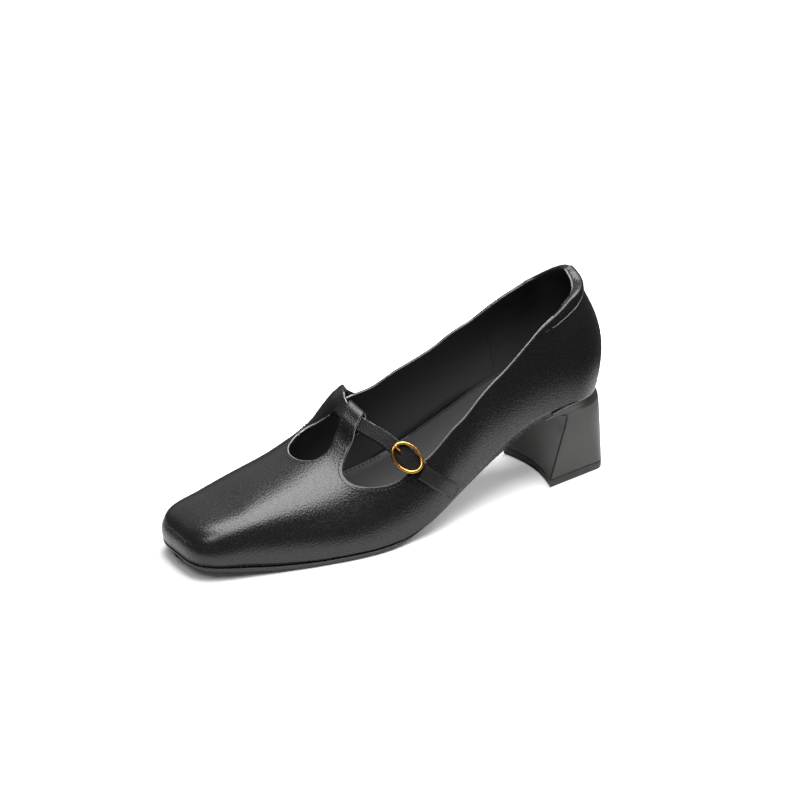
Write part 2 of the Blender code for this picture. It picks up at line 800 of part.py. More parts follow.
def last_normal(s, c):
    """Outward normal of the last."""
    step = 0.4
    along = last_point(s + step, c) - last_point(s - step, c)
    around = last_point(s, c + 0.01) - last_point(s, c - 0.01)
    normal = np.cross(around, along)
    normal /= np.linalg.norm(normal)
    centre = np.array((s, at("crown_y", s), at("feather", s)))
    if normal @ (last_point(s, c) - centre) < 0:
        normal = -normal
    return normal


def build_tab(group):
    """Buckle strap laid on the lateral quarter."""
    line = spline([(p.x, CROSS_SPAN * solve_c(p.x, 1.0, 2, p.z)) for p in TAB_LINE], STRAP_PITCH)
    centre = [last_point(s, q / CROSS_SPAN) for s, q in line]
    run = np.gradient(np.array(centre), axis=0)
    verts = []
    for (s, q), p, d in zip(line, centre, run):
        n = last_normal(s, q / CROSS_SPAN)
        a = np.cross(n, d / np.linalg.norm(d))
        for i, j in ((1, 1), (0, 1), (-1, 1), (-1, 0), (0, 0), (1, 0)):
            x = p[0] + a[0] * TAB_HALF * i
            z = p[2] + a[2] * TAB_HALF * i
            c = solve_c(x, 1.0, 2, z)
            lift = TAB_LIFT + TAB_THICK * j
            verts.append(tuple(last_point(x, c) + last_normal(x, c) * lift))
    faces = [(0, 1, 4, 5), (1, 2, 3, 4)]
    end = len(verts) - 6
    faces += [(end + 5, end + 4, end + 1, end), (end + 4, end + 3, end + 2, end + 1)]
    for k in range(len(line) - 1):
        for j in range(6):
            a = 6 * k + j
            b = 6 * k + (j + 1) % 6
            faces.append((a, b, b + 6, a + 6))
    return add_piece(group, "buckle_strap", verts, faces, LEATHER)


def buckle_frame_axes():
    """Centre, run, across and outward directions of the strap at the buckle."""
    path, run, across, out = strap_frames()
    stop = int(round(len(path) - 1 - BUCKLE_STOP / STRAP_PITCH))
    return path[stop], run[stop], across[stop], out[stop]


def wire(points, radius, cyclic, sides):
    """Closed mesh of a round wire along placed points."""
    data = bpy.data.curves.new("wire", "CURVE")
    data.dimensions = "3D"
    data.bevel_depth = radius * MM
    data.bevel_resolution = sides
    data.use_fill_caps = True
    line = data.splines.new("POLY")
    line.points.add(len(points) - 1)
    for target, p in zip(line.points, points):
        target.co = (*place(p), 1.0)
    line.use_cyclic_u = cyclic
    obj = bpy.data.objects.new("wire", data)
    bpy.context.scene.collection.objects.link(obj)
    graph = bpy.context.evaluated_depsgraph_get()
    mesh = bpy.data.meshes.new_from_object(obj.evaluated_get(graph))
    bpy.data.objects.remove(obj, do_unlink=True)
    bpy.data.curves.remove(data)
    bm = bmesh.new()
    bm.from_mesh(mesh)
    bmesh.ops.remove_doubles(bm, verts=bm.verts, dist=SLIVER * MM)
    bmesh.ops.recalc_face_normals(bm, faces=bm.faces)
    bm.to_mesh(mesh)
    bm.free()
    return mesh


def build_buckle(group):
    """Oval buckle frame and its prong over the strap."""
    centre, run, across, out = buckle_frame_axes()
    ring = []
    for k in range(RING_POINTS):
        turn = 2.0 * math.pi * k / RING_POINTS
        a = RING_LONG * math.cos(turn)
        b = RING_WIDE * math.sin(turn)
        n = RING_LIFT - RING_BEND * (1.0 - math.cos(2.0 * turn)) / 2
        ring.append(centre + run * a + across * b + out * n)
    frame = link_piece(group, "buckle_frame", wire(ring, RING_WIRE, True, 2), GOLD)
    rod = [centre + across * p.across + out * p.out for p in BAR_PATH]
    bar = link_piece(group, "buckle_bar", wire(rod, BAR_WIRE, False, 1), GOLD)
    join(frame, bar)
    line = [centre + run * p.along + out * p.out for p in PRONG_PATH]
    prong = link_piece(group, "buckle_prong", wire(line, PRONG_WIRE, False, 2), GOLD)
    return frame, prong


def join(target, other):
    """Unite another solid with the target and drop it."""
    mod = target.modifiers.new("joined", "BOOLEAN")
    mod.operation = "UNION"
    mod.solver = "EXACT"
    mod.object = other
    bake(target)
    bpy.data.objects.remove(other, do_unlink=True)


def main():
    """Build every piece of the shoe."""
    clear_scene()
    group = make_collection("block_heel_shoe")
    build_outsole(group)
    build_heel(group)
    build_top_piece(group)
    build_upper(group)
    build_insole(group)
    build_strap(group)
    build_tab(group)
    build_buckle(group)


main()
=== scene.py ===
"""Looks of a left T-strap shoe with a square toe, an oval buckle and a flared block heel.

Tables and sizes are millimetres in the shoe's own frame: x runs from the back of the heel to the
toe, y to the lateral side and z up.  Pieces are placed in the row frame, in metres, when finished.
"""

import logging
import math
from dataclasses import dataclass
from enum import Enum
from typing import Callable, NamedTuple, Optional, Sequence, Union

import bmesh
import bpy
import numpy as np
from mathutils import Matrix, Vector
from mathutils.geometry import delaunay_2d_cdt


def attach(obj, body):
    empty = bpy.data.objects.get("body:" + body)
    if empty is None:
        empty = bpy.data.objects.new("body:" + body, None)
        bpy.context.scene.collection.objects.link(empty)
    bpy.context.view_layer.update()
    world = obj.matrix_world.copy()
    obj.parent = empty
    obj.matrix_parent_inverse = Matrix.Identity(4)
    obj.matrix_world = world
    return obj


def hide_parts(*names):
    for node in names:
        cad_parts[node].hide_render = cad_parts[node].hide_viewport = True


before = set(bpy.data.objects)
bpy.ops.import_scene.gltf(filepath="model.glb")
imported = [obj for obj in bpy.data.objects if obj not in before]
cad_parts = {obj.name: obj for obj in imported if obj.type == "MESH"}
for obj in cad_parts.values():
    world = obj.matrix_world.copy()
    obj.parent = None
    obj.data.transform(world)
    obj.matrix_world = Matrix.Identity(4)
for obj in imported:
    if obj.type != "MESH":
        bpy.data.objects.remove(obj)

LOG = logging.getLogger("shoe")
MM = 0.001
GROUND_SHIFT = (-123.65, -1.12, 0.0)
WELD = 0.02
STEEP = 0.9
BEAD_SIDES = 8

Array = np.ndarray
Shape = Callable[[Array, Array], Array]
Inputs = dict[Union[str, int], object]
Pair = tuple[float, float]
Colour = tuple[float, float, float]


class Side(Enum):
    """The two sides of a left shoe."""

    LATERAL = 1.0
    MEDIAL = -1.0


class Slot(Enum):
    """Names of the material slots."""

    UPPER = "upper_leather"
    STRAP = "strap_leather"
    HEEL = "heel_cover"
    TOP_PIECE = "top_piece_rubber"
    OUTSOLE = "outsole_rubber"
    INSOLE = "insole_leather"
    BUCKLE = "buckle_metal"


class Section(NamedTuple):
    """One section of the last: feather height, half widths, crown and fullness of each side."""

    x: float
    feather: float
    lateral: float
    medial: float
    crown_y: float
    crown_z: float
    full_lat: float
    full_med: float
    swell: float


SECTIONS = (
    Section(0.0, 47.6, 25.0, 25.0, 0.0, 146.0, 2.0, 2.0, 5.5),
    Section(26.0, 46.6, 25.6, 25.6, 0.0, 146.0, 2.0, 2.0, 3.8),
    Section(50.0, 41.0, 26.2, 25.6, -1.0, 138.0, 2.8, 2.3, 3.0),
    Section(75.0, 30.2, 28.6, 26.0, -3.0, 124.0, 3.0, 3.2, 2.2),
    Section(100.0, 18.6, 33.8, 27.6, -5.0, 104.0, 2.2, 3.1, 1.4),
    Section(120.0, 9.6, 38.4, 31.0, -6.0, 83.0, 1.85, 2.7, 0.9),
    Section(140.0, 4.0, 39.8, 35.6, -6.5, 62.0, 1.9, 2.8, 0.6),
    Section(152.0, 3.3, 40.2, 37.4, -6.5, 52.6, 2.0, 2.95, 0.5),
    Section(165.0, 3.3, 39.2, 37.9, -5.5, 45.0, 2.1, 2.95, 0.5),
    Section(180.0, 3.3, 36.8, 36.8, -4.0, 40.2, 2.35, 2.8, 0.5),
    Section(205.0, 4.6, 31.6, 32.6, -1.5, 34.6, 3.1, 3.0, 0.5),
    Section(222.0, 6.6, 27.6, 28.9, 0.0, 30.1, 3.9, 3.3, 0.5),
    Section(246.2, 9.2, 22.2, 24.4, 0.0, 24.8, 3.9, 3.3, 0.6),
)


class Topline(NamedTuple):
    """Topline height on each side."""

    x: float
    lateral: float
    medial: float


TOPLINE = (
    Topline(-14.0, 110.4, 110.4),
    Topline(-7.0, 109.3, 109.2),
    Topline(6.0, 107.0, 105.1),
    Topline(26.0, 103.8, 96.4),
    Topline(42.0, 95.8, 89.2),
    Topline(51.0, 90.4, 84.5),
    Topline(61.0, 83.0, 79.3),
    Topline(77.0, 72.6, 72.2),
    Topline(92.0, 61.6, 66.2),
    Topline(107.0, 51.0, 60.6),
    Topline(121.0, 41.4, 55.2),
)


class Plan(NamedTuple):
    """A point of a cut-out seen from above."""

    x: float
    y: float


LATERAL_SCOOP = (
    Plan(131.0, 33.4),
    Plan(139.0, 33.0),
    Plan(147.0, 31.8),
    Plan(154.0, 29.8),
    Plan(158.8, 27.0),
    Plan(161.4, 23.4),
    Plan(161.8, 19.8),
)
MEDIAL_HOLE = (
    Plan(139.5, -28.0),
    Plan(150.0, -26.6),
    Plan(159.5, -24.4),
    Plan(168.5, -19.8),
    Plan(174.0, -13.6),
    Plan(176.0, -6.6),
    Plan(174.8, 0.2),
    Plan(170.0, 4.8),
)


class BarRow(NamedTuple):
    """Centre line and half width of the T-bar."""

    x: float
    y: float
    half: float


T_BAR = (
    BarRow(144.0, 1.0, 5.6),
    BarRow(150.0, 3.6, 5.4),
    BarRow(155.0, 7.0, 5.4),
    BarRow(160.0, 10.8, 5.9),
)


class Fold(NamedTuple):
    """Fold of the T-bar round the cross strap: along the T-bar and outward."""

    along: float
    out: float


FOLD = (
    Fold(12.0, 0.0),
    Fold(9.0, 0.6),
    Fold(6.4, 2.2),
    Fold(4.6, 3.0),
    Fold(0.0, 3.1),
    Fold(-4.2, 3.1),
    Fold(-6.1, 2.5),
    Fold(-7.1, 0.9),
    Fold(-7.1, -0.9),
    Fold(-6.1, -2.5),
    Fold(-4.2, -3.1),
    Fold(0.0, -3.1),
    Fold(4.0, -3.1),
)


class Collar(NamedTuple):
    """Padded collar: seam below the topline and padding behind the edge on each side."""

    s: float
    drop: float
    pad: float
    pad_medial: float


COLLAR = (
    Collar(-14.0, 3.4, 3.0, 3.0),
    Collar(0.0, 3.0, 4.0, 1.8),
    Collar(8.0, 2.9, 4.2, 1.1),
    Collar(17.5, 3.5, 3.4, 0.6),
    Collar(24.5, 5.0, 2.2, 0.3),
    Collar(30.0, 6.0, 1.1, 0.1),
    Collar(37.0, 5.2, 0.3, 0.0),
    Collar(43.0, 3.4, 0.0, 0.0),
    Collar(50.0, 1.8, 0.0, 0.0),
    Collar(56.0, 0.8, 0.0, 0.0),
    Collar(64.0, 0.0, 0.0, 0.0),
)


class StrapPoint(NamedTuple):
    """A point of the cross strap's centre line."""

    x: float
    y: float
    z: float


STRAP_PATH = (
    StrapPoint(126.5, -32.6, 42.5),
    StrapPoint(129.5, -31.2, 50.0),
    StrapPoint(135.5, -27.4, 59.2),
    StrapPoint(141.5, -18.5, 63.8),
    StrapPoint(145.4, -8.6, 60.5),
    StrapPoint(144.8, 1.0, 57.2),
    StrapPoint(142.4, 10.5, 55.8),
    StrapPoint(138.0, 19.3, 53.0),
    StrapPoint(132.4, 27.8, 47.0),
    StrapPoint(126.2, 36.0, 38.8),
)
STRAP_KNOT = 5


class StrapWidth(NamedTuple):
    """Half widths of the cross strap at a share of its length."""

    share: float
    front: float
    back: float


STRAP_WIDTHS = (
    StrapWidth(0.0, 4.1, 12.0),
    StrapWidth(0.04, 4.1, 9.5),
    StrapWidth(0.08, 4.1, 6.5),
    StrapWidth(0.12, 4.1, 4.5),
    StrapWidth(0.16, 4.1, 3.4),
    StrapWidth(0.2, 4.1, 3.4),
    StrapWidth(0.317, 4.1, 3.6),
    StrapWidth(0.431, 4.1, 3.8),
    StrapWidth(0.83, 3.9, 3.9),
    StrapWidth(0.87, 4.7, 4.7),
    StrapWidth(1.0, 4.9, 4.9),
)


class ArmEdge(NamedTuple):
    """A point of the front edge of the strap's medial arm, at a share of the strap's length."""

    share: float
    x: float
    y: float
    z: float


ARM_EDGE = (
    ArmEdge(0.0, 156.0, -34.9, 33.1),
    ArmEdge(0.08, 159.6, -30.2, 39.0),
    ArmEdge(0.12, 161.6, -26.0, 41.0),
    ArmEdge(0.16, 162.2, -22.6, 42.9),
    ArmEdge(0.2, 159.2, -22.6, 44.4),
    ArmEdge(0.25, 156.2, -21.4, 46.2),
    ArmEdge(0.29, 153.8, -19.5, 48.0),
    ArmEdge(0.33, 152.3, -17.0, 50.4),
    ArmEdge(0.37, 150.9, -14.5, 52.8),
    ArmEdge(0.41, 149.7, -11.5, 55.2),
    ArmEdge(0.45, 148.8, -8.2, 57.8),
)


class TabPoint(NamedTuple):
    """A point of the buckle strap's centre line on the lateral quarter."""

    x: float
    z: float


TAB_LINE = (
    TabPoint(124.4, 36.8),
    TabPoint(114.2, 28.4),
    TabPoint(104.2, 20.0),
)


class SoleRow(NamedTuple):
    """Sole thickness, how far its lower edge tucks in and how far its lip stands out."""

    x: float
    thick: float
    tuck: float
    lip: float


SOLE_ROWS = (
    SoleRow(47.0, 2.6, 4.0, -2.4),
    SoleRow(90.0, 2.6, 4.0, -2.2),
    SoleRow(122.0, 2.8, 2.4, -1.4),
    SoleRow(146.0, 3.0, 1.0, 0.5),
    SoleRow(215.0, 3.0, 0.8, 0.6),
    SoleRow(245.0, 3.0, 1.2, -0.2),
)


class HeelLevel(NamedTuple):
    """Outline of the heel block at a share of its height."""

    share: float
    back: float
    front: float
    half_front: float
    half_back: float
    turn: float
    power: float
    hollow: float


HEEL_LEVELS = (
    HeelLevel(0.00, -0.2, 39.4, 22.8, 16.4, 8.0, 2.6, 4.0),
    HeelLevel(0.25, 0.0, 36.0, 22.4, 17.2, 10.5, 2.5, 4.0),
    HeelLevel(0.50, 0.4, 33.2, 22.8, 18.8, 14.0, 2.4, 3.8),
    HeelLevel(0.74, 0.9, 30.9, 23.6, 21.0, 18.6, 2.3, 3.2),
    HeelLevel(0.84, 1.2, 30.5, 24.2, 22.2, 21.0, 2.2, 2.8),
    HeelLevel(0.87, 1.4, 31.4, 24.5, 22.7, 22.2, 2.2, 2.4),
    HeelLevel(0.90, 2.0, 34.4, 24.8, 23.2, 23.4, 2.15, 1.8),
    HeelLevel(0.92, 2.7, 38.2, 25.1, 23.6, 24.2, 2.15, 1.3),
    HeelLevel(0.94, 3.5, 42.6, 25.4, 24.2, 25.0, 2.15, 0.8),
    HeelLevel(1.00, 5.4, 46.6, 26.0, 25.0, 25.6, 2.15, 0.0),
)


def hermite(t: Array, span: Array, start: tuple[Array, Array], end: tuple[Array, Array]) -> Array:
    """Cubic between two values with given slopes.

    Args:
        t: Shares of the way from start to end.
        span: Length of the way.
        start: Value and slope at the start.
        end: Value and slope at the end.

    Returns:
        Values at t.
    """
    near, far = (1.0 - t) ** 2, t * t
    first = (1.0 + 2.0 * t) * near * start[0] + t * near * span * start[1]
    return first + far * (3.0 - 2.0 * t) * end[0] + far * (t - 1.0) * span * end[1]


def smooth(xs: Sequence[float], ys: Sequence[float], x: Array) -> Array:
    """Interpolate a table with a cubic that keeps level runs level.

    Args:
        xs: Rising places of the table.
        ys: Values at those places.
        x: Where to read the table.

    Returns:
        Values at x.
    """
    xs = np.asarray(xs, float)
    ys = np.asarray(ys, float)
    rise = np.diff(ys) / np.diff(xs)
    tangent = np.empty_like(ys)
    tangent[0], tangent[-1] = rise[0], rise[-1]
    before, after = rise[:-1], rise[1:]
    same = before * after > 0
    safe = np.where(same, before + after, 1.0)
    tangent[1:-1] = np.where(same, 2.0 * before * after / safe, 0.0)
    x = np.clip(np.asarray(x, float), xs[0], xs[-1])
    i = np.clip(np.searchsorted(xs, x) - 1, 0, len(xs) - 2)
    span = xs[i + 1] - xs[i]
    t = (x - xs[i]) / span
    return hermite(t, span, (ys[i], tangent[i]), (ys[i + 1], tangent[i + 1]))


def read_table(rows: Sequence[NamedTuple], key: str, name: str, x: Array) -> Array:
    """Read one column of a table of rows at x, by the key column."""
    return smooth([getattr(r, key) for r in rows], [getattr(r, name) for r in rows], x)


def topline(s: Array, lateral: Array) -> Array:
    """Topline height on the lateral or the medial side."""
    return np.where(lateral, read_table(TOPLINE, "x", "lateral", s), read_table(TOPLINE, "x", "medial", s))


def travel(line: Array) -> Array:
    """Distance along a line from its first point to each point."""
    return np.concatenate(((0.0,), np.cumsum(np.linalg.norm(np.diff(line, axis=0), axis=1))))


def spline(points: Sequence[Sequence[float]], pitch: float) -> Array:
    """Even samples of a smooth curve through points.

    Args:
        points: Points of any dimension.
        pitch: Distance between samples.

    Returns:
        One row per sample.
    """
    pts = np.asarray(points, float)
    chord = travel(pts)
    slope = np.gradient(pts, chord, axis=0)
    count = max(2, int(round(chord[-1] / pitch)))
    t = np.linspace(0.0, chord[-1], count + 1)
    i = np.clip(np.searchsorted(chord, t, side="right") - 1, 0, len(pts) - 2)
    span = (chord[i + 1] - chord[i])[:, None]
    u = (t - chord[i])[:, None] / span
    return hermite(u, span, (pts[i], slope[i]), (pts[i + 1], slope[i + 1]))


def unit(vectors: Array) -> Array:
    """Rows of an array scaled to unit length."""
    return vectors / np.maximum(np.linalg.norm(vectors, axis=-1, keepdims=True), 1e-9)


def row_at(rows: Array, share: Array) -> Array:
    """Rows of an array read between its first and last at shares from 0 to 1."""
    place = np.asarray(share) * (len(rows) - 1)
    return np.stack([np.interp(place, np.arange(len(rows)), rows[:, k]) for k in range(rows.shape[1])], 1)


@dataclass(frozen=True)
class Last:
    """The form that the upper is drawn over."""

    length: float = 246.2
    heel_back: float = 3.7
    heel_centre: float = 26.0
    toe_centre: float = 222.0
    heel_arc: float = 40.0
    toe_arc: float = 44.0
    heel_power: float = 2.15
    toe_power: float = 3.8
    heel_slope: float = -0.33
    toe_slope: float = -0.2
    heel_fullness: float = 1.32
    toe_fullness: float = 4.2
    swell_span: float = 0.55
    cross_span: float = 70.0

    @property
    def back(self) -> float:
        """Arc place of the back seam."""
        return self.heel_centre - self.heel_arc

    @property
    def front(self) -> float:
        """Arc place of the toe's middle."""
        return self.toe_centre + self.toe_arc

    def at(self, name: str, x: Array) -> Array:
        """Value of a section column at x."""
        return read_table(SECTIONS, "x", name, x)

    def ends(self, s: Array) -> tuple[Array, Array, Array, Array]:
        """Turn of the rounded ends at arc place s.

        Args:
            s: Arc places along the outline.

        Returns:
            Plan x, share of the half width, share of the end's own profile, and its slope.
        """
        toe = s > self.toe_centre
        heel = s < self.heel_centre
        turn_toe = math.pi / 2 * np.clip(1.0 - (s - self.toe_centre) / self.toe_arc, 0.0, 1.0)
        turn_heel = math.pi / 2 * np.clip(1.0 - (self.heel_centre - s) / self.heel_arc, 0.0, 1.0)
        reach_toe = np.clip(np.cos(turn_toe), 0.0, 1.0) ** (2.0 / self.toe_power)
        reach_heel = np.clip(np.cos(turn_heel), 0.0, 1.0) ** (2.0 / self.heel_power)
        x = np.where(toe, self.toe_centre + (self.length - self.toe_centre) * reach_toe, s)
        x = np.where(heel, self.heel_centre - (self.heel_centre - self.heel_back) * reach_heel, x)
        width = np.where(toe, np.sin(turn_toe) ** (2.0 / self.toe_power), 1.0)
        width = np.where(heel, np.sin(turn_heel) ** (2.0 / self.heel_power), width)
        own = np.where(toe, np.cos(turn_toe), np.where(heel, np.cos(turn_heel), 0.0))
        slope = np.where(toe, self.toe_slope, np.where(heel, self.heel_slope, 0.0))
        return x, width, own, slope

    def foot(self, s: Array, side: Array) -> tuple[Array, Array]:
        """Plan of the feather line on one side."""
        x, width, _, _ = self.ends(s)
        half = np.where(side > 0, self.at("lateral", x), self.at("medial", x)) * width
        return x, side * half

    def points(self, s: Array, c: Array) -> Array:
        """Points of the last.

        Args:
            s: Arc places from the back seam to the toe.
            c: Cross places from -1 at the medial feather over 0 at the crown to 1.

        Returns:
            One row per point.
        """
        s, c = np.broadcast_arrays(np.asarray(s, float), np.asarray(c, float))
        side = np.where(c >= 0, 1.0, -1.0)
        x, width, own, slope = self.ends(s)
        centre = np.clip(s, self.heel_centre, self.toe_centre)
        lateral = side > 0
        half = np.where(lateral, self.at("lateral", x), self.at("medial", x)) * width
        full = np.where(lateral, self.at("full_lat", centre), self.at("full_med", centre))
        end_full = np.where(slope == self.toe_slope, self.toe_fullness, self.heel_fullness)
        full = full * (1.0 - own) + end_full * own
        turn = np.clip(1.0 - np.abs(c), 0.0, 1.0) * math.pi / 2
        run = np.clip(np.cos(turn), 0.0, 1.0) ** (2.0 / full)
        rise = np.sin(turn) ** (2.0 / full)
        crown_y, crown_z = self.at("crown_y", centre), self.at("crown_z", centre)
        dx = x - centre
        dy = side * half - crown_y
        reach = np.maximum(np.hypot(dx, dy), 1e-6)
        out = run + self.at("swell", x) * np.sin(math.pi * np.minimum(1.0, rise / self.swell_span)) / reach
        px = centre + dx * out
        low = self.at("feather", x) - slope * dx
        z = low + (crown_z - low) * rise + slope * (px - centre)
        return np.stack([px, crown_y + dy * out, z], axis=-1)

    def cross_where(self, s: Array, side: Array, axis: int, value: Array) -> Array:
        """Cross places on one side at which the last reaches a width or a height.

        Args:
            s: Arc places.
            side: 1 for lateral, -1 for medial.
            axis: 1 to match a width, 2 to match a height.
            value: Width or height to match.

        Returns:
            Cross places with the sign of the side.
        """
        s, side, value = (np.asarray(v, float) for v in (s, side, value))
        low = np.zeros_like(s + value)
        high = np.ones_like(low)
        for _ in range(40):
            middle = (low + high) / 2
            here = self.points(s, side * np.maximum(middle, 1e-6))[..., axis]
            beyond = here > value if axis == 2 else side * here < side * value
            low = np.where(beyond, middle, low)
            high = np.where(beyond, high, middle)
        return side * (low + high) / 2

    def cross_at_y(self, x: Array, y: Array) -> Array:
        """Cross places of the last under plan points."""
        side = np.where(np.asarray(y, float) >= self.at("crown_y", x), 1.0, -1.0)
        return self.cross_where(x, side, 1, y)


LAST = Last()


def place_in_row(bm: bmesh.types.BMesh) -> None:
    """Move a mesh from the shoe's millimetres to the row frame in metres."""
    bmesh.ops.translate(bm, verts=bm.verts, vec=GROUND_SHIFT)
    bmesh.ops.scale(bm, verts=bm.verts, vec=(MM, MM, MM))


def finish_piece(
    name: str,
    bm: bmesh.types.BMesh,
    materials: Sequence[bpy.types.Material],
    slot: Slot,
    nodes: Sequence[str] = (),
    crease_deg: Optional[float] = None,
) -> bpy.types.Object:
    """Turn a mesh into a named piece that rides with the shoe.

    Args:
        name: Name of the piece.
        bm: Its mesh in millimetres; freed here.
        materials: Materials by face index.
        slot: Slot that the finish belongs to; not used.
        nodes: CAD nodes that the piece stands for.
        crease_deg: Edges sharper than this stay sharp.

    Returns:
        The finished object.
    """
    place_in_row(bm)
    mesh = bpy.data.meshes.new(name)
    bm.to_mesh(mesh)
    bm.free()
    for material in materials:
        mesh.materials.append(material)
    mesh.shade_smooth()
    if crease_deg is not None:
        mesh.set_sharp_from_angle(angle=math.radians(crease_deg))
    obj = bpy.data.objects.new(name, mesh)
    bpy.context.scene.collection.objects.link(obj)
    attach(obj, "root")
    if nodes:
        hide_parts(*nodes)
    LOG.info("%s: %d faces", name, len(mesh.polygons))
    return obj


def loft(along: int, around: int, shape: Shape, capped: bool = False) -> bmesh.types.BMesh:
    """Bend a flat grid to a surface and weld its seams.

    Args:
        along: Number of segments along the piece.
        around: Number of segments round it.
        shape: Gives points for shares along and round.
        capped: True to close the open ends.

    Returns:
        The welded mesh.
    """
    bm = bmesh.new()
    bmesh.ops.create_grid(bm, x_segments=along, y_segments=around, size=1.0)
    flat = np.array([v.co[:2] for v in bm.verts])
    share = (flat - flat.min(axis=0)) / (flat.max(axis=0) - flat.min(axis=0))
    for vert, point in zip(bm.verts, shape(share[:, 0], share[:, 1])):
        vert.co = point
    bmesh.ops.remove_doubles(bm, verts=bm.verts, dist=WELD)
    if capped:
        bmesh.ops.holes_fill(bm, edges=[e for e in bm.edges if e.is_boundary], sides=0)
    bmesh.ops.recalc_face_normals(bm, faces=bm.faces)
    return bm


class NodeKit:
    """Short calls to lay out shader nodes."""

    def __init__(self, tree: bpy.types.NodeTree) -> None:
        """Keep the tree that nodes are added to."""
        self.tree = tree

    def feed(self, node: bpy.types.Node, inputs: Inputs) -> None:
        """Link sockets to a node's inputs, or set their plain values."""
        for key, value in inputs.items():
            if isinstance(value, bpy.types.NodeSocket):
                self.tree.links.new(value, node.inputs[key])
            else:
                node.inputs[key].default_value = value

    def add(self, kind: str, inputs: Optional[Inputs] = None, **values: object) -> bpy.types.Node:
        """Add a node.

        Args:
            kind: Type of the node.
            inputs: Sockets or plain values by input name or place.
            values: Plain properties of the node.

        Returns:
            The new node.
        """
        node = self.tree.nodes.new(kind)
        for name, value in values.items():
            setattr(node, name, value)
        self.feed(node, inputs or {})
        return node

    def maths(self, operation: str, *inputs: object) -> bpy.types.NodeSocket:
        """Result of a maths node with its inputs in order."""
        return self.add("ShaderNodeMath", dict(enumerate(inputs)), operation=operation).outputs[0]

    def mix(self, factor: bpy.types.NodeSocket, a: object, b: object) -> bpy.types.NodeSocket:
        """Mix of two colours, each a socket or a plain value."""
        node = self.add("ShaderNodeMix", {"Factor": factor, "A": a, "B": b}, data_type="RGBA")
        return node.outputs["Result"]

    def ramp(
        self, value: bpy.types.NodeSocket, places: Pair, results: Pair = (0.0, 1.0), easing: str = "SMOOTHSTEP"
    ) -> bpy.types.NodeSocket:
        """Result that goes from one value to another between two places.

        Args:
            value: Socket that is read.
            places: Values of the socket at which the ramp starts and ends.
            results: Results there.
            easing: How the ramp goes between them.

        Returns:
            The socket of the result.
        """
        limits = dict(zip(("From Min", "From Max", "To Min", "To Max"), (*places, *results)))
        node = self.add("ShaderNodeMapRange", {"Value": value, **limits}, interpolation_type=easing)
        return node.outputs["Result"]


def new_group(name: str, inputs: dict[str, tuple[str, object]], outputs: Sequence[str]) -> bpy.types.NodeTree:
    """Shader node group with named sockets.

    Args:
        name: Name of the group.
        inputs: Socket type and default by input name.
        outputs: Names of the float outputs.

    Returns:
        The empty group with its input and output nodes.
    """
    tree = bpy.data.node_groups.new(name, "ShaderNodeTree")
    for label, (kind, value) in inputs.items():
        socket = tree.interface.new_socket(label, in_out="INPUT", socket_type=kind)
        if value is not None:
            socket.default_value = value
    for label in outputs:
        tree.interface.new_socket(label, in_out="OUTPUT", socket_type="NodeSocketFloat")
    tree.nodes.new("NodeGroupInput")
    tree.nodes.new("NodeGroupOutput")
    return tree


CELL_SMOOTH = 0.5
CELL_DEPTH = 0.9
PORE_DEPTH = 0.35


def grain_group() -> bpy.types.NodeTree:
    """Pebbled grain of leather: cell height with fine pores, and a soft mottle."""
    tree = new_group(
        "pebble_grain",
        {
            "Vector": ("NodeSocketVector", None),
            "Cells": ("NodeSocketFloat", 1300.0),
            "Pores": ("NodeSocketFloat", 3800.0),
            "Patches": ("NodeSocketFloat", 60.0),
        },
        ("Height", "Mottle"),
    )
    kit = NodeKit(tree)
    start = tree.nodes["Group Input"].outputs
    noise = {}
    for name, detail in (("Cells", 2.0), ("Pores", 3.0), ("Patches", 4.0)):
        inputs = {"Vector": start["Vector"], "Scale": start[name], "Detail": detail}
        noise[name] = kit.add("ShaderNodeTexNoise", inputs).outputs["Fac"]
    inputs = {"Vector": start["Vector"], "Scale": start["Cells"], "Smoothness": CELL_SMOOTH}
    cells = kit.add("ShaderNodeTexVoronoi", inputs, feature="SMOOTH_F1").outputs["Distance"]
    domes = kit.maths("MULTIPLY_ADD", cells, -CELL_DEPTH, noise["Cells"])
    height = kit.maths("MULTIPLY_ADD", noise["Pores"], PORE_DEPTH, domes)
    kit.feed(tree.nodes["Group Output"], {"Height": height, "Mottle": noise["Patches"]})
    return tree


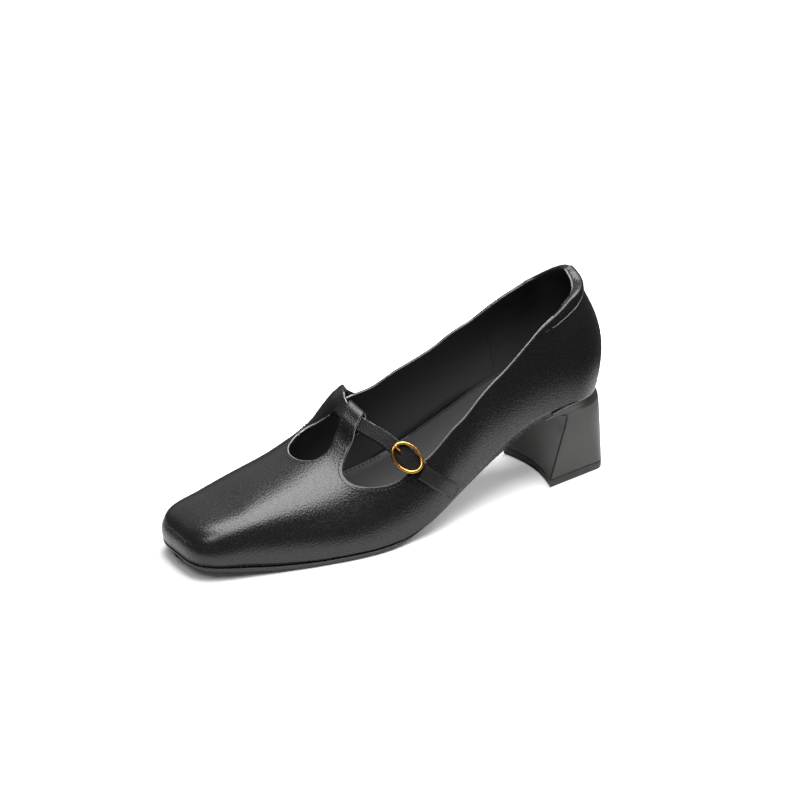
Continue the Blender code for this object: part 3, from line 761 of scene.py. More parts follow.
@dataclass(frozen=True)
class Finish:
    """A finish with grain, mottle and gloss."""

    name: str
    dark: Colour
    light: Colour
    rough_low: float
    rough_high: float
    bump: float = 0.2
    bump_mm: float = 0.08
    cells: float = 1300.0
    pores: float = 3800.0
    patches: float = 60.0
    metallic: float = 0.0
    specular: float = 0.5
    # The low tone with its slope and span is painted light: a lighter tone towards the sole.
    low: Optional[Colour] = None
    painted_light_slope: float = 0.3
    painted_light_span: Pair = (0.02, 0.056)
    gloss_to: float = 0.6

    def painted_light_low(
        self, kit: NodeKit, place: bpy.types.NodeSocket, colour: bpy.types.NodeSocket
    ) -> bpy.types.NodeSocket:
        """Colour that turns to a lighter low tone towards the sole, painted light standing in for light falling on
        the lower lining.

        Args:
            kit: Node helper of the material.
            place: Object coordinates.
            colour: Colour higher up.

        Returns:
            The mixed colour.
        """
        axes = kit.add("ShaderNodeSeparateXYZ", {"Vector": place}).outputs
        rise = kit.maths("MULTIPLY_ADD", axes["X"], self.painted_light_slope, axes["Z"])
        return kit.mix(kit.ramp(rise, self.painted_light_span), (*self.low, 1.0), colour)

    def material(self, grain: bpy.types.NodeTree) -> bpy.types.Material:
        """Material of this finish.

        Args:
            grain: The shared grain group.

        Returns:
            A new node material.
        """
        mat = bpy.data.materials.new(self.name)
        mat.use_nodes = True
        kit = NodeKit(mat.node_tree)
        place = kit.add("ShaderNodeTexCoord").outputs["Object"]
        inputs = {"Vector": place, "Cells": self.cells, "Pores": self.pores, "Patches": self.patches}
        group = kit.add("ShaderNodeGroup", inputs, node_tree=grain).outputs
        colour = kit.mix(group["Mottle"], (*self.dark, 1.0), (*self.light, 1.0))
        # Painted light: the colour turns lighter towards the sole.
        if self.low:
            colour = self.painted_light_low(kit, place, colour)
        gloss = kit.ramp(group["Height"], (0.0, self.gloss_to), (self.rough_high, self.rough_low), "LINEAR")
        inputs = {"Height": group["Height"], "Strength": self.bump, "Distance": self.bump_mm * MM}
        relief = kit.add("ShaderNodeBump", inputs)
        kit.feed(
            mat.node_tree.nodes["Principled BSDF"],
            {
                "Metallic": self.metallic,
                "Specular IOR Level": self.specular,
                "Base Color": colour,
                "Roughness": gloss,
                "Normal": relief.outputs["Normal"],
            },
        )
        return mat


CALF = Finish("black_calf", (0.007, 0.007, 0.0072), (0.011, 0.011, 0.0112), 0.15, 0.36, 0.62, 0.15, 1000.0)
# Painted highlight: light grey for the rounded cut edges and strap edges, standing in for the light they catch.
EDGE_HIGHLIGHT = Finish("folded_edge", (0.24, 0.24, 0.24), (0.34, 0.34, 0.34), 0.25, 0.36, 0.2, 0.05)
# Lining with painted light: its low tone makes it lighter towards the insole, where light falls on it.
LINING = Finish(
    "black_lining",
    (0.009, 0.009, 0.0093),
    (0.015, 0.015, 0.0155),
    0.4,
    0.52,
    0.25,
    0.05,
    1800.0,
    low=(0.04, 0.04, 0.042),
)
STRAP = Finish(
    "strap_leather", (0.007, 0.007, 0.0072), (0.012, 0.012, 0.0122), 0.38, 0.5, 0.8, 0.2, specular=0.12
)
TAB = Finish(
    "buckle_strap_leather", (0.012, 0.012, 0.0116), (0.017, 0.017, 0.0163), 0.26, 0.44, 0.6, 0.16, 1000.0
)
THREAD = Finish("black_thread", (0.008, 0.008, 0.008), (0.018, 0.018, 0.019), 0.4, 0.55, 0.3, 0.05, 5000.0)
SOCK = Finish("grey_sock", (0.018, 0.018, 0.0195), (0.026, 0.026, 0.028), 0.5, 0.62, 0.2, 0.05, 1700.0)
HEEL_COVER = Finish("heel_cover", (0.037, 0.038, 0.033), (0.047, 0.048, 0.042), 0.34, 0.42, 0.08, 0.03, 900.0)
HEEL_LINE = Finish("heel_edge_line", (0.004, 0.004, 0.004), (0.007, 0.007, 0.007), 0.5, 0.6, 0.1, 0.03)
# Painted highlight: pale grey for the thin beads at the heel seat and under the collar, in place of the light they
# catch.
SEAM_HIGHLIGHT = Finish("heel_seat_seam", (0.1, 0.1, 0.095), (0.14, 0.14, 0.13), 0.35, 0.45, 0.1, 0.03)
RUBBER = Finish("top_piece_rubber", (0.032, 0.033, 0.03), (0.042, 0.043, 0.039), 0.45, 0.6, 0.2, 0.05, 2500.0)
SOLE = Finish("sole_rubber", (0.022, 0.02, 0.018), (0.032, 0.028, 0.025), 0.4, 0.5, 0.2, 0.06, 1500.0)
GOLD = Finish(
    "warm_gold", (0.64, 0.3, 0.07), (0.78, 0.41, 0.12), 0.16, 0.26, 0.05, 0.02, 2500.0, 6000.0, 300.0, 1.0
)


class Workshop:
    """Materials made once and shared by the pieces."""

    def __init__(self) -> None:
        """Build the shared grain group."""
        self.grain = grain_group()
        self.made: dict[str, bpy.types.Material] = {}

    def get(self, finish: Finish) -> bpy.types.Material:
        """Material of a finish, made on first use."""
        if finish.name not in self.made:
            self.made[finish.name] = finish.material(self.grain)
        return self.made[finish.name]


@dataclass(frozen=True)
class Stitch:
    """Size of one stitch and the space between two."""

    long: float = 1.5
    gap: float = 0.7
    wide: float = 0.28
    lift: float = 0.06
    probe: float = 0.3

    def row(self, bm: bmesh.types.BMesh, line: Array, normals: Array) -> None:
        """Sew a row of stitches along a line.

        Args:
            bm: Mesh that takes the stitches.
            line: Points of the seam.
            normals: Outward direction at each point.
        """
        run = travel(line)
        pitch = self.long + self.gap
        stops = np.arange(pitch / 2, run[-1] - self.long / 2, pitch)

        def read(values: Array, where: Array) -> Array:
            """Rows of an array at distances along the seam."""
            return np.stack([np.interp(where, run, values[:, k]) for k in range(3)], 1)

        spots = read(line, stops)
        along = unit(read(line, stops + self.probe) - read(line, stops - self.probe))
        out = unit(read(normals, stops))
        across = unit(np.cross(along, out))
        out = np.cross(across, along)
        for spot, run_dir, side_dir, up in zip(spots, along, across, out):
            axes = Matrix((side_dir * self.wide, up * self.wide, run_dir * self.long / 2))
            pose = axes.transposed().to_4x4()
            pose.translation = Vector(spot + up * self.lift)
            bmesh.ops.create_uvsphere(bm, u_segments=6, v_segments=5, radius=1.0, matrix=pose)


FINE_STITCH = Stitch(1.4, 0.7, 0.24)
SOCK_STITCH = Stitch(1.4, 0.9, 0.3, 0.05)


class TBarFold:
    """Local axes of the T-bar where it is folded round the cross strap."""

    cross_x: float = 144.6
    start_x: float = 153.6
    flat_x: float = 159.0

    def __init__(self) -> None:
        """Work out the axes and the fold's curve."""
        self.origin = self.centre(np.array([self.cross_x]))[0]
        start = self.centre(np.array([self.start_x]))[0]
        span = float(np.linalg.norm(start - self.origin))
        self.along = (start - self.origin) / span
        across = np.subtract(STRAP_PATH[STRAP_KNOT + 1], STRAP_PATH[STRAP_KNOT - 1])
        self.across = across / np.linalg.norm(across)
        self.out = unit(np.cross(self.along, self.across))
        scale = span / FOLD[0].along
        self.curve = spline([(f.along * scale, f.out) for f in FOLD], 0.4)
        self.stops = travel(self.curve)
        span_x = LAST.cross_span
        self.low = span_x * float(self.edge(np.array([self.start_x]), -1.0)[0])
        self.high = span_x * float(self.edge(np.array([self.start_x]), 1.0)[0])
        self.middle = (self.low + self.high) / 2
        self.half = (self.high - self.low) / 2
        self.end = self.start_x - float(self.stops[-1])

    def bar(self, name: str, x: Array) -> Array:
        """Value of a T-bar column at x."""
        return read_table(T_BAR, "x", name, x)

    def centre(self, x: Array) -> Array:
        """Points of the T-bar's centre line on the last."""
        return LAST.points(x, LAST.cross_at_y(x, self.bar("y", x)))

    def edge(self, x: Array, side: float) -> Array:
        """Cross places of one edge of the T-bar."""
        return LAST.cross_at_y(x, self.bar("y", x) + side * self.bar("half", x))

    def points(self, s: Array, q: Array) -> Array:
        """Points of the T-bar from its root to the end of the fold.

        Args:
            s: Arc places.
            q: Cross places in span units.

        Returns:
            One row per point.
        """
        travelled = np.clip(self.start_x - s, 0.0, self.stops[-1])
        a = np.interp(travelled, self.stops, self.curve[:, 0])
        n = np.interp(travelled, self.stops, self.curve[:, 1])
        offset = (q - self.middle) / self.half * float(self.bar("half", np.array([self.start_x]))[0])
        folded = self.origin + a[:, None] * self.along + n[:, None] * self.out + offset[:, None] * self.across
        held = np.maximum(s, self.start_x)
        low = LAST.cross_span * self.edge(held, -1.0)
        high = LAST.cross_span * self.edge(held, 1.0)
        offset = (2.0 * (q - low) / (high - low) - 1.0) * self.bar("half", held)
        flat = self.centre(held) + offset[:, None] * self.across
        share = np.clip((self.flat_x - held) / (self.flat_x - self.start_x), 0.0, 1.0)
        share = (share * share * (3.0 - 2.0 * share))[:, None]
        eased = flat * share + LAST.points(held, q / LAST.cross_span) * (1.0 - share)
        return np.where((s <= self.start_x)[:, None], folded, eased)


FOLDED = TBarFold()


def upper_points(s: Array, q: Array) -> Array:
    """Points of the upper's outer face before padding, with the T-bar folded round the strap."""
    s, q = np.asarray(s, float), np.asarray(q, float)
    base = LAST.points(s, q / LAST.cross_span)
    strip = (np.abs(q - FOLDED.middle) < 2.0 * FOLDED.half) & (s > FOLDED.end - 1.0) & (s < FOLDED.flat_x)
    if strip.any():
        base[strip] = FOLDED.points(s[strip], q[strip])
    return base


def upper_frame(s: Array, q: Array) -> tuple[Array, Array, Array, Array]:
    """Points, outward normals and mm per unit of s and q on the upper's outer face."""
    step = 0.2
    here = upper_points(s, q)
    along = (upper_points(s + step, q) - upper_points(s - step, q)) / (2 * step)
    around = (upper_points(s, q + step) - upper_points(s, q - step)) / (2 * step)
    return here, unit(np.cross(along, around)), np.linalg.norm(along, axis=1), np.linalg.norm(around, axis=1)


@dataclass
class Upper:
    """Vamp, quarters, T-bar and padded collar as one hollow form."""

    shop: Workshop
    pitch: float = 1.3
    edge_pitch: float = 0.9
    wall: float = 1.7
    puff: float = 0.7
    far_puff: float = 0.35
    groove: float = 0.5
    groove_wide: float = 0.5
    rim_steps: int = 8
    front_from: float = 164.0
    front_ease: float = 6.5
    thin_rim: float = 2.6
    thick_rim: float = 4.2
    dark_until: float = 128.0
    rim_reach: float = 1.3
    bead: float = 0.32
    seam_from: float = 46.0
    seam_steps: int = 90
    seam_fade: float = 10.0
    seam_lift: float = 0.1
    level_share: float = 0.8
    clear_share: float = 0.45
    rim_share: Pair = (0.55, 0.9)
    rim_gain: float = 0.1
    least_drop: float = 0.5
    full_drop: float = 2.0
    crown_rise: float = 1.6
    pad_reach: float = 9.0
    pad_power: float = 1.5
    normal_match: float = 0.6
    lean_passes: int = 6
    pole: float = 1.5
    stitch_inset: float = 1.7
    stitch_starts: Pair = (124.0, 139.0)
    bar_row: float = 9.0
    bar_step: float = 0.8
    lining_row_s: Pair = (47.4, 43.8)
    lining_row_z: Pair = (70.0, 50.0)

    def edges(self) -> tuple[Array, Array]:
        """Lateral and medial edges of the opening in the plane of s and cross span."""
        span = LAST.cross_span
        lines = []
        for side, plan, column in (
            (Side.LATERAL.value, LATERAL_SCOOP, "lateral"),
            (Side.MEDIAL.value, MEDIAL_HOLE, "medial"),
        ):
            rows = []
            for row in TOPLINE:
                s = max(row.x, LAST.back)
                rows.append((s, span * float(LAST.cross_where(s, side, 2, getattr(row, column)))))
            for spot in plan:
                rows.append((spot.x, span * float(LAST.cross_at_y(spot.x, spot.y))))
            for bar in reversed(T_BAR):
                if bar.x > FOLDED.start_x:
                    rows.append((bar.x, span * float(FOLDED.edge(np.array(bar.x), side))))
            rows.append((FOLDED.start_x, FOLDED.middle + side * FOLDED.half))
            lines.append(spline(rows, self.edge_pitch))
        lines[0][0, 0] = lines[1][0, 0] = LAST.back
        lines[1][0, 1] = -lines[0][0, 1]
        return lines[0], lines[1]

    def outline(self) -> Array:
        """Closed outline of the upper in the plane of s and cross span."""
        span = LAST.cross_span
        left, right = self.edges()
        stops = FOLDED.start_x - np.arange(self.edge_pitch, FOLDED.stops[-1], self.edge_pitch)
        strip = np.stack([stops, np.full_like(stops, FOLDED.half)], 1)
        strip_left = strip + (0.0, FOLDED.middle)
        strip_right = strip * (1.0, -1.0) + (0.0, FOLDED.middle)
        end = np.linspace(strip_left[-1], strip_right[-1], 9)[1:-1]
        seam = np.linspace(left[0, 1], span, int((span - left[0, 1]) / self.pitch) + 1)
        feather = self.even_row(span)
        toe = np.linspace(-span, span, 2 * int(span / self.pitch) + 1)
        parts = [left, strip_left, end, strip_right[::-1], right[::-1]]
        parts.append(np.stack([np.full(len(seam) - 1, LAST.back), -seam[1:]], 1))
        parts.append(np.stack([feather, np.full_like(feather, -span)], 1))
        parts.append(np.stack([np.full_like(toe, LAST.front), toe], 1))
        parts.append(np.stack([feather[::-1], np.full_like(feather, span)], 1))
        parts.append(np.stack([np.full(len(seam) - 1, LAST.back), seam[:0:-1]], 1))
        return np.concatenate(parts)

    def even_row(self, q: float, phase: float = 0.0) -> Array:
        """Arc places along one cross level, an even distance apart on the surface."""
        s = np.linspace(LAST.back, LAST.front, 700)
        run = travel(upper_points(s, np.full_like(s, q)))
        count = max(2, int(round(run[-1] / self.pitch)))
        stops = (np.arange(count - 1) + 1.0 + phase) * run[-1] / count
        return np.interp(stops[stops < run[-1] - self.pitch / 3], run, s)

    def inner_points(self, outline: Array) -> Array:
        """Staggered points inside the outline and clear of it."""
        span = LAST.cross_span
        rows = []
        step = self.pitch * self.level_share
        for k, q in enumerate(np.arange(-span + step, span, step)):
            s = self.even_row(float(q), 0.5 * (k % 2))
            s = s[(s < LAST.toe_centre) | (abs(q) > self.pole)]
            rows.append(np.stack([s, np.full_like(s, q)], 1))
        s = np.arange(LAST.toe_centre, LAST.front - 1.0, 1.0)
        rows.append(np.stack([s, np.zeros_like(s)], 1))
        points = np.concatenate(rows)
        kept = []
        a, b = outline, np.roll(outline, -1, axis=0)
        run = b - a
        length = np.maximum((run * run).sum(axis=1), 1e-9)
        rise = np.where(b[:, 1] == a[:, 1], 1.0, b[:, 1] - a[:, 1])
        for part in np.array_split(points, 24):
            s, q = part[:, :1], part[:, 1:]
            spans = (a[:, 1] > q) != (b[:, 1] > q)
            hits = spans & (s < (b[:, 0] - a[:, 0]) * (q - a[:, 1]) / rise + a[:, 0])
            inside = hits.sum(axis=1) % 2 == 1
            t = np.clip(((s - a[:, 0]) * run[:, 0] + (q - a[:, 1]) * run[:, 1]) / length, 0.0, 1.0)
            near = np.hypot(a[:, 0] + t * run[:, 0] - s, a[:, 1] + t * run[:, 1] - q).min(axis=1)
            kept.append(part[inside & (near > self.pitch * self.clear_share)])
        return np.concatenate(kept)

    def sheet(self) -> bmesh.types.BMesh:
        """Outer face of the upper as one welded sheet with its plane places kept on the vertices."""
        outline = self.outline()
        flat = np.concatenate([outline, self.inner_points(outline)])
        count = len(outline)
        ring = [(i, (i + 1) % count) for i in range(count)]
        verts, _, faces, _, _, _ = delaunay_2d_cdt([Vector(p) for p in flat], ring, [], 1, 1e-6)
        plane = np.array([tuple(v) for v in verts])
        solid = upper_points(plane[:, 0], plane[:, 1])
        bm = bmesh.new()
        place_s = bm.verts.layers.float.new("s")
        place_q = bm.verts.layers.float.new("q")
        made = []
        for (s, q), point in zip(plane, solid):
            vert = bm.verts.new(point)
            vert[place_s], vert[place_q] = float(s), float(q)
            made.append(vert)
        for face in faces:
            bm.faces.new([made[i] for i in face])
        bmesh.ops.remove_doubles(bm, verts=bm.verts, dist=WELD)
        bmesh.ops.dissolve_degenerate(bm, edges=bm.edges, dist=WELD)
        bmesh.ops.recalc_face_normals(bm, faces=bm.faces)
        toe = max(bm.faces, key=lambda f: f.calc_center_median().x)
        if toe.normal.x < 0:
            bmesh.ops.reverse_faces(bm, faces=bm.faces)
        bm.normal_update()
        return bm

    def padding(self, s: Array, q: Array, z: Array) -> tuple[Array, Array]:
        """Outward puff of the collar and extra thickness behind it.

        Args:
            s: Arc places of the vertices.
            q: Cross places of the vertices.
            z: Heights of the vertices.

        Returns:
            Outward move and added wall, both in millimetres.
        """
        top = topline(s, q > 0)
        drop = read_table(COLLAR, "s", "drop", s)
        pad = np.where(q > 0, read_table(COLLAR, "s", "pad", s), read_table(COLLAR, "s", "pad_medial", s))
        fade = np.clip(drop / self.full_drop, 0.0, 1.0)
        above = z - (top - drop)
        rise = np.clip(above / np.maximum(drop, self.least_drop), 0.0, 1.0)
        crown = np.sqrt(np.clip(1.0 - (1.0 - np.minimum(1.0, rise * self.crown_rise)) ** 2, 0.0, 1.0))
        puff = np.where(s < COLLAR[-1].s, self.puff * crown * fade, 0.0)
        puff *= np.where(q > 0, 1.0, self.far_puff)
        dip = self.groove * np.exp(-((above / self.groove_wide) ** 2)) * fade
        puff -= np.where(s < COLLAR[-1].s, dip, 0.0)
        near_top = np.clip(1.0 - (top - z) / self.pad_reach, 0.0, 1.0)
        return puff, np.where(s < COLLAR[-1].s, pad * near_top ** self.pad_power, 0.0)

    def wall_mesh(self) -> bmesh.types.BMesh:
        """Closed wall of the upper: outer face, lining and rounded edges."""
        bm = self.sheet()
        place_s = bm.verts.layers.float["s"]
        place_q = bm.verts.layers.float["q"]
        outer = list(bm.verts)
        s = np.array([v[place_s] for v in outer])
        q = np.array([v[place_q] for v in outer])
        co = np.array([v.co for v in outer])
        normal = upper_frame(s, q)[1]
        rough = np.array([v.normal for v in outer])
        lost = (normal * rough).sum(axis=1) < self.normal_match
        normal[lost] = rough[lost]
        puff, extra = self.padding(s, q, co[:, 2])
        co = co + normal * puff[:, None]
        for vert, point in zip(outer, co):
            vert.co = point
        bm.normal_update()
        inside = co - normal * (self.wall + puff.clip(0.0) + extra)[:, None]
        bm.verts.index_update()
        faces = list(bm.faces)
        borders = [e for e in bm.edges if e.is_boundary]
        lining = [bm.verts.new(p) for p in inside]
        for face in faces:
            back = bm.faces.new([lining[v.index] for v in reversed(face.verts)])
            back.material_index = 1
        self.rims(bm, borders, lining, place_q)
        bmesh.ops.recalc_face_normals(bm, faces=bm.faces)
        return bm

    def rims(
        self,
        bm: bmesh.types.BMesh,
        borders: Sequence[bmesh.types.BMEdge],
        lining: Sequence[bmesh.types.BMVert],
        place_q: object,
    ) -> None:
        """Close the edges of the wall, rounded at the opening.

        Args:
            bm: Mesh with outer face and lining.
            borders: Border edges of the outer face.
            lining: Lining vertices by outer index.
            place_q: Layer of the cross places.
        """
        lean: dict[int, Vector] = {}
        for edge in borders:
            face = edge.link_faces[0]
            run = edge.verts[1].co - edge.verts[0].co
            side = run.cross(face.normal).normalized()
            if side.dot(face.calc_center_median() - edge.verts[0].co) > 0:
                side = -side
            for vert in edge.verts:
                lean[vert.index] = lean.get(vert.index, Vector((0.0, 0.0, 0.0))) + side
        for _ in range(self.lean_passes):
            eased = {k: v.copy() * 2.0 for k, v in lean.items()}
            for edge in borders:
                i, j = edge.verts[0].index, edge.verts[1].index
                eased[i] += lean[j]
                eased[j] += lean[i]
            lean = {k: v.normalized() for k, v in eased.items()}
        limit = LAST.cross_span - 0.01
        chains: dict[int, list[bmesh.types.BMVert]] = {}
        for edge in borders:
            for vert in edge.verts:
                if vert.index in chains:
                    continue
                inner = lining[vert.index]
                chain = [vert]
                if abs(vert[place_q]) < limit:
                    middle = (vert.co + inner.co) / 2
                    half = (vert.co - inner.co) / 2
                    least, most = self.rim_share
                    reach = min(most, least + self.rim_gain * half.length) * half.length
                    away = lean[vert.index].normalized() * min(reach, self.rim_reach)
                    for k in range(1, self.rim_steps):
                        turn = math.pi * k / self.rim_steps
                        chain.append(bm.verts.new(middle + half * math.cos(turn) + away * math.sin(turn)))
                chain.append(inner)
                chains[vert.index] = chain
        for edge in borders:
            a, b = chains[edge.verts[0].index], chains[edge.verts[1].index]
            if len(a) != len(b):
                bm.faces.new([*a, *reversed(b)])
                continue
            thick = (a[0].co - a[-1].co).length
            # Far medial rims before dark_until get no painted highlight and stay dark; other rims get it on the
            # rows that the next call picks.
            far = edge.verts[0][place_q] < 0.0 and edge.verts[0].co.x < self.dark_until
            bright = () if far else self.painted_highlight_rows(edge.verts[0].co.x, thick)
            for k in range(len(a) - 1):
                face = bm.faces.new((a[k], a[k + 1], b[k + 1], b[k]))
                face.material_index = 2 if len(a) > 2 and k in bright else 0

    def painted_highlight_rows(self, x: float, thick: float) -> tuple[int, ...]:
        """Rows of a rounded rim, from outside in, that carry the painted highlight.

        Args:
            x: Place along the shoe.
            thick: Thickness of the wall there.

        Returns:
            Row numbers.
        """
        if x > self.front_from:
            return (0, 1) if x > self.front_from + self.front_ease else (1, 2)
        if thick < self.thin_rim:
            return (3, 4)
        return (5,) if thick < self.thick_rim else (6,)

    def seam_line(self, line: Array, side: Side) -> tuple[Array, Array]:
        """Line inside an opening edge for its stitches.

        Args:
            line: Edge in the plane of s and cross span.
            side: Side of the shoe that the edge belongs to.

        Returns:
            Points and outward normals.
        """
        s, q = line[:, 0], line[:, 1]
        _, _, mm_s, mm_q = upper_frame(s, q)
        run = np.gradient(line, axis=0) * np.stack([mm_s, mm_q], 1)
        run = unit(run)
        inward = np.stack([-run[:, 1], run[:, 0]], 1) * side.value * self.stitch_inset
        moved = line + inward / np.stack([mm_s, mm_q], 1)
        here, normal, _, _ = upper_frame(moved[:, 0], moved[:, 1])
        return here, normal

    def build(self) -> None:
        """Make the upper and its stitches."""
        shop = self.shop
        bm = self.wall_mesh()
        materials = [shop.get(CALF), shop.get(LINING), shop.get(EDGE_HIGHLIGHT)]
        finish_piece("shoe_upper", bm, materials, Slot.UPPER, ("upper",))
        self.collar_seam()
        self.sew()

    def collar_seam(self) -> None:
        """Thin raised edge under the padded collar, from side to side round the back, pale grey as a painted
        highlight.
        """
        start, count = self.seam_from, self.seam_steps
        s = np.concatenate([np.linspace(start, LAST.back, count), np.linspace(LAST.back, start, count)[1:]])
        side = np.where(np.arange(len(s)) < count, 1.0, -1.0)
        z = topline(s, side > 0) - read_table(COLLAR, "s", "drop", s)
        here, normal, _, _ = upper_frame(s, LAST.cross_span * LAST.cross_where(s, side, 2, z))
        normal[count - 1] = unit(normal[count - 2] + normal[count])
        fade = np.clip((start - s) / self.seam_fade, 0.05, 1.0)
        bead = tube(here + normal * self.seam_lift, self.bead * fade, BEAD_SIDES)
        finish_piece("collar_seam", bead, [self.shop.get(SEAM_HIGHLIGHT)], Slot.UPPER)

    def sew(self) -> None:
        """Sew the rows along the cut-outs and T-bar and the short row on the lining."""
        bm = bmesh.new()
        stitch = Stitch()
        for line, side, start in zip(self.edges(), Side, self.stitch_starts):
            front = line[np.argmax(line[:, 0] > start):]
            stops = FOLDED.start_x - np.arange(self.bar_step, self.bar_row, self.bar_step)
            strip = np.stack([stops, np.full_like(stops, FOLDED.middle + side.value * FOLDED.half)], 1)
            stitch.row(bm, *self.seam_line(np.concatenate([front, strip]), side))
        z = np.linspace(*self.lining_row_z, 12)
        s = np.linspace(*self.lining_row_s, 12)
        q = LAST.cross_span * LAST.cross_where(s, -1.0, 2, z)
        here, normal, _, _ = upper_frame(s, q)
        stitch.row(bm, here - normal * self.wall, -normal)
        finish_piece("upper_stitches", bm, [self.shop.get(THREAD)], Slot.UPPER)


@dataclass
class Bottom:
    """Outsole under the upper and insole inside it."""

    shop: Workshop
    gap: float = 0.3
    back: float = 47.0
    insole_thick: float = 3.0
    insole_inset: float = 1.9
    stitch_from: float = 112.0
    stitch_to: float = 184.0
    stitch_inset: float = 1.5
    stitch_rise: float = 0.82
    along: int = 220

    def rim(self, s: Array, side: Array, spread: Array) -> Array:
        """Plan of the outline spread outward.

        Args:
            s: Arc places.
            side: 1 for lateral, -1 for medial.
            spread: Distance outward.

        Returns:
            Plan points.
        """
        x, y = LAST.foot(s, side)
        dx = x - np.clip(s, LAST.heel_centre, LAST.toe_centre)
        reach = np.maximum(np.hypot(dx, y), 1e-6)
        return np.stack([x + dx / reach * spread, y + y / reach * spread], 1)

    def slab(
        self, first: float, table: Array, height: Callable[[Array, Array], Array], lipped: bool
    ) -> bmesh.types.BMesh:
        """Slab that follows the outline with a section table.

        Args:
            first: Arc place where the slab starts.
            table: Rows of width share, outward spread, share of the tuck and place in the section.
            height: Gives heights from plan x and place in the section.
            lipped: True to add the sole's lip to the spread.

        Returns:
            The closed mesh.
        """
        loop = np.concatenate([table, table[-2::-1] * (-1.0, 1.0, 1.0, 1.0)])

        def shape(u: Array, w: Array) -> Array:
            """Points at shares along the outline and round the section."""
            s = first + u * (LAST.front - first)
            row = row_at(loop, w)
            side = np.where(row[:, 0] >= 0, 1.0, -1.0)
            x = LAST.ends(s)[0]
            tuck = read_table(SOLE_ROWS, "x", "tuck", x)
            lip = read_table(SOLE_ROWS, "x", "lip", x) if lipped else 0.0
            plan = self.rim(s, side, row[:, 1] - row[:, 2] * tuck + lip)
            middle = (self.rim(s, 1.0 + 0 * s, 0 * s) + self.rim(s, -1.0 + 0 * s, 0 * s)) / 2
            plan = middle + (plan - middle) * np.abs(row[:, :1])
            return np.column_stack([plan, height(plan[:, 0], row[:, 3])])

        return loft(self.along, len(loop) - 1, shape, True)

    def build_outsole(self) -> None:
        """Outsole with a rounded lip and a tucked waist."""
        table = np.array(
            [
                (0.0, 0.0, 0.0, 0.0),
                (0.5, 0.0, 0.0, 0.0),
                (0.85, 0.0, 0.0, 0.0),
                (1.0, -2.2, 0.0, 0.0),
                (1.0, -1.4, 0.0, 0.2),
                (1.0, -0.5, 0.0, 0.24),
                (1.0, -0.14, 0.0, 0.29),
                (1.0, 0.0, 0.0, 0.4),
                (1.0, 0.0, 0.05, 0.55),
                (1.0, 0.0, 0.25, 0.75),
                (1.0, -0.05, 0.6, 0.9),
                (1.0, -0.35, 0.9, 0.98),
                (1.0, -0.8, 1.0, 1.0),
                (0.9, -0.8, 1.0, 1.0),
                (0.5, 0.0, 1.0, 1.0),
                (0.0, 0.0, 1.0, 1.0),
            ]
        )

        def height(x: Array, depth: Array) -> Array:
            """Heights at shares of the sole's thickness."""
            return LAST.at("feather", x) - self.gap - depth * read_table(SOLE_ROWS, "x", "thick", x)

        bm = self.slab(self.back, table, height, True)
        finish_piece("shoe_outsole", bm, [self.shop.get(SOLE)], Slot.OUTSOLE, ("outsole",), crease_deg=50.0)

    def build_insole(self) -> None:
        """Insole with a soft rolled edge that climbs a little at the wall."""
        inset = -self.insole_inset
        table = np.array(
            [
                (0.0, 0.0, 0.0, -0.5),
                (0.4, 0.0, 0.0, -0.35),
                (0.75, 0.0, 0.0, 0.0),
                (0.9, 0.0, 0.0, 0.35),
                (1.0, inset - 1.0, 0.0, 0.9),
                (1.0, inset - 0.3, 0.0, 1.1),
                (1.0, inset, 0.0, 0.8),
                (1.0, inset - 0.6, 0.0, -self.insole_thick),
                (0.5, 0.0, 0.0, -self.insole_thick),
                (0.0, 0.0, 0.0, -self.insole_thick),
            ]
        )

        def height(x: Array, lift: Array) -> Array:
            """Heights above the insole's face."""
            return LAST.at("feather", x) + self.insole_thick + lift

        bm = self.slab(LAST.back, table, height, False)
        finish_piece("shoe_insole", bm, [self.shop.get(SOCK)], Slot.INSOLE, ("insole",), crease_deg=60.0)
        rows = bmesh.new()
        for side in Side:
            s = np.linspace(self.stitch_from, self.stitch_to, 150)
            plan = self.rim(s, side.value + 0 * s, inset - self.stitch_inset + 0 * s)
            line = np.column_stack([plan, height(plan[:, 0], self.stitch_rise + 0 * s)])
            SOCK_STITCH.row(rows, line, np.tile((0.0, 0.0, 1.0), (len(line), 1)))
        finish_piece("insole_stitches", rows, [self.shop.get(THREAD)], Slot.INSOLE)

    def build(self) -> None:
        """Make the outsole and the insole."""
        self.build_outsole()
        self.build_insole()


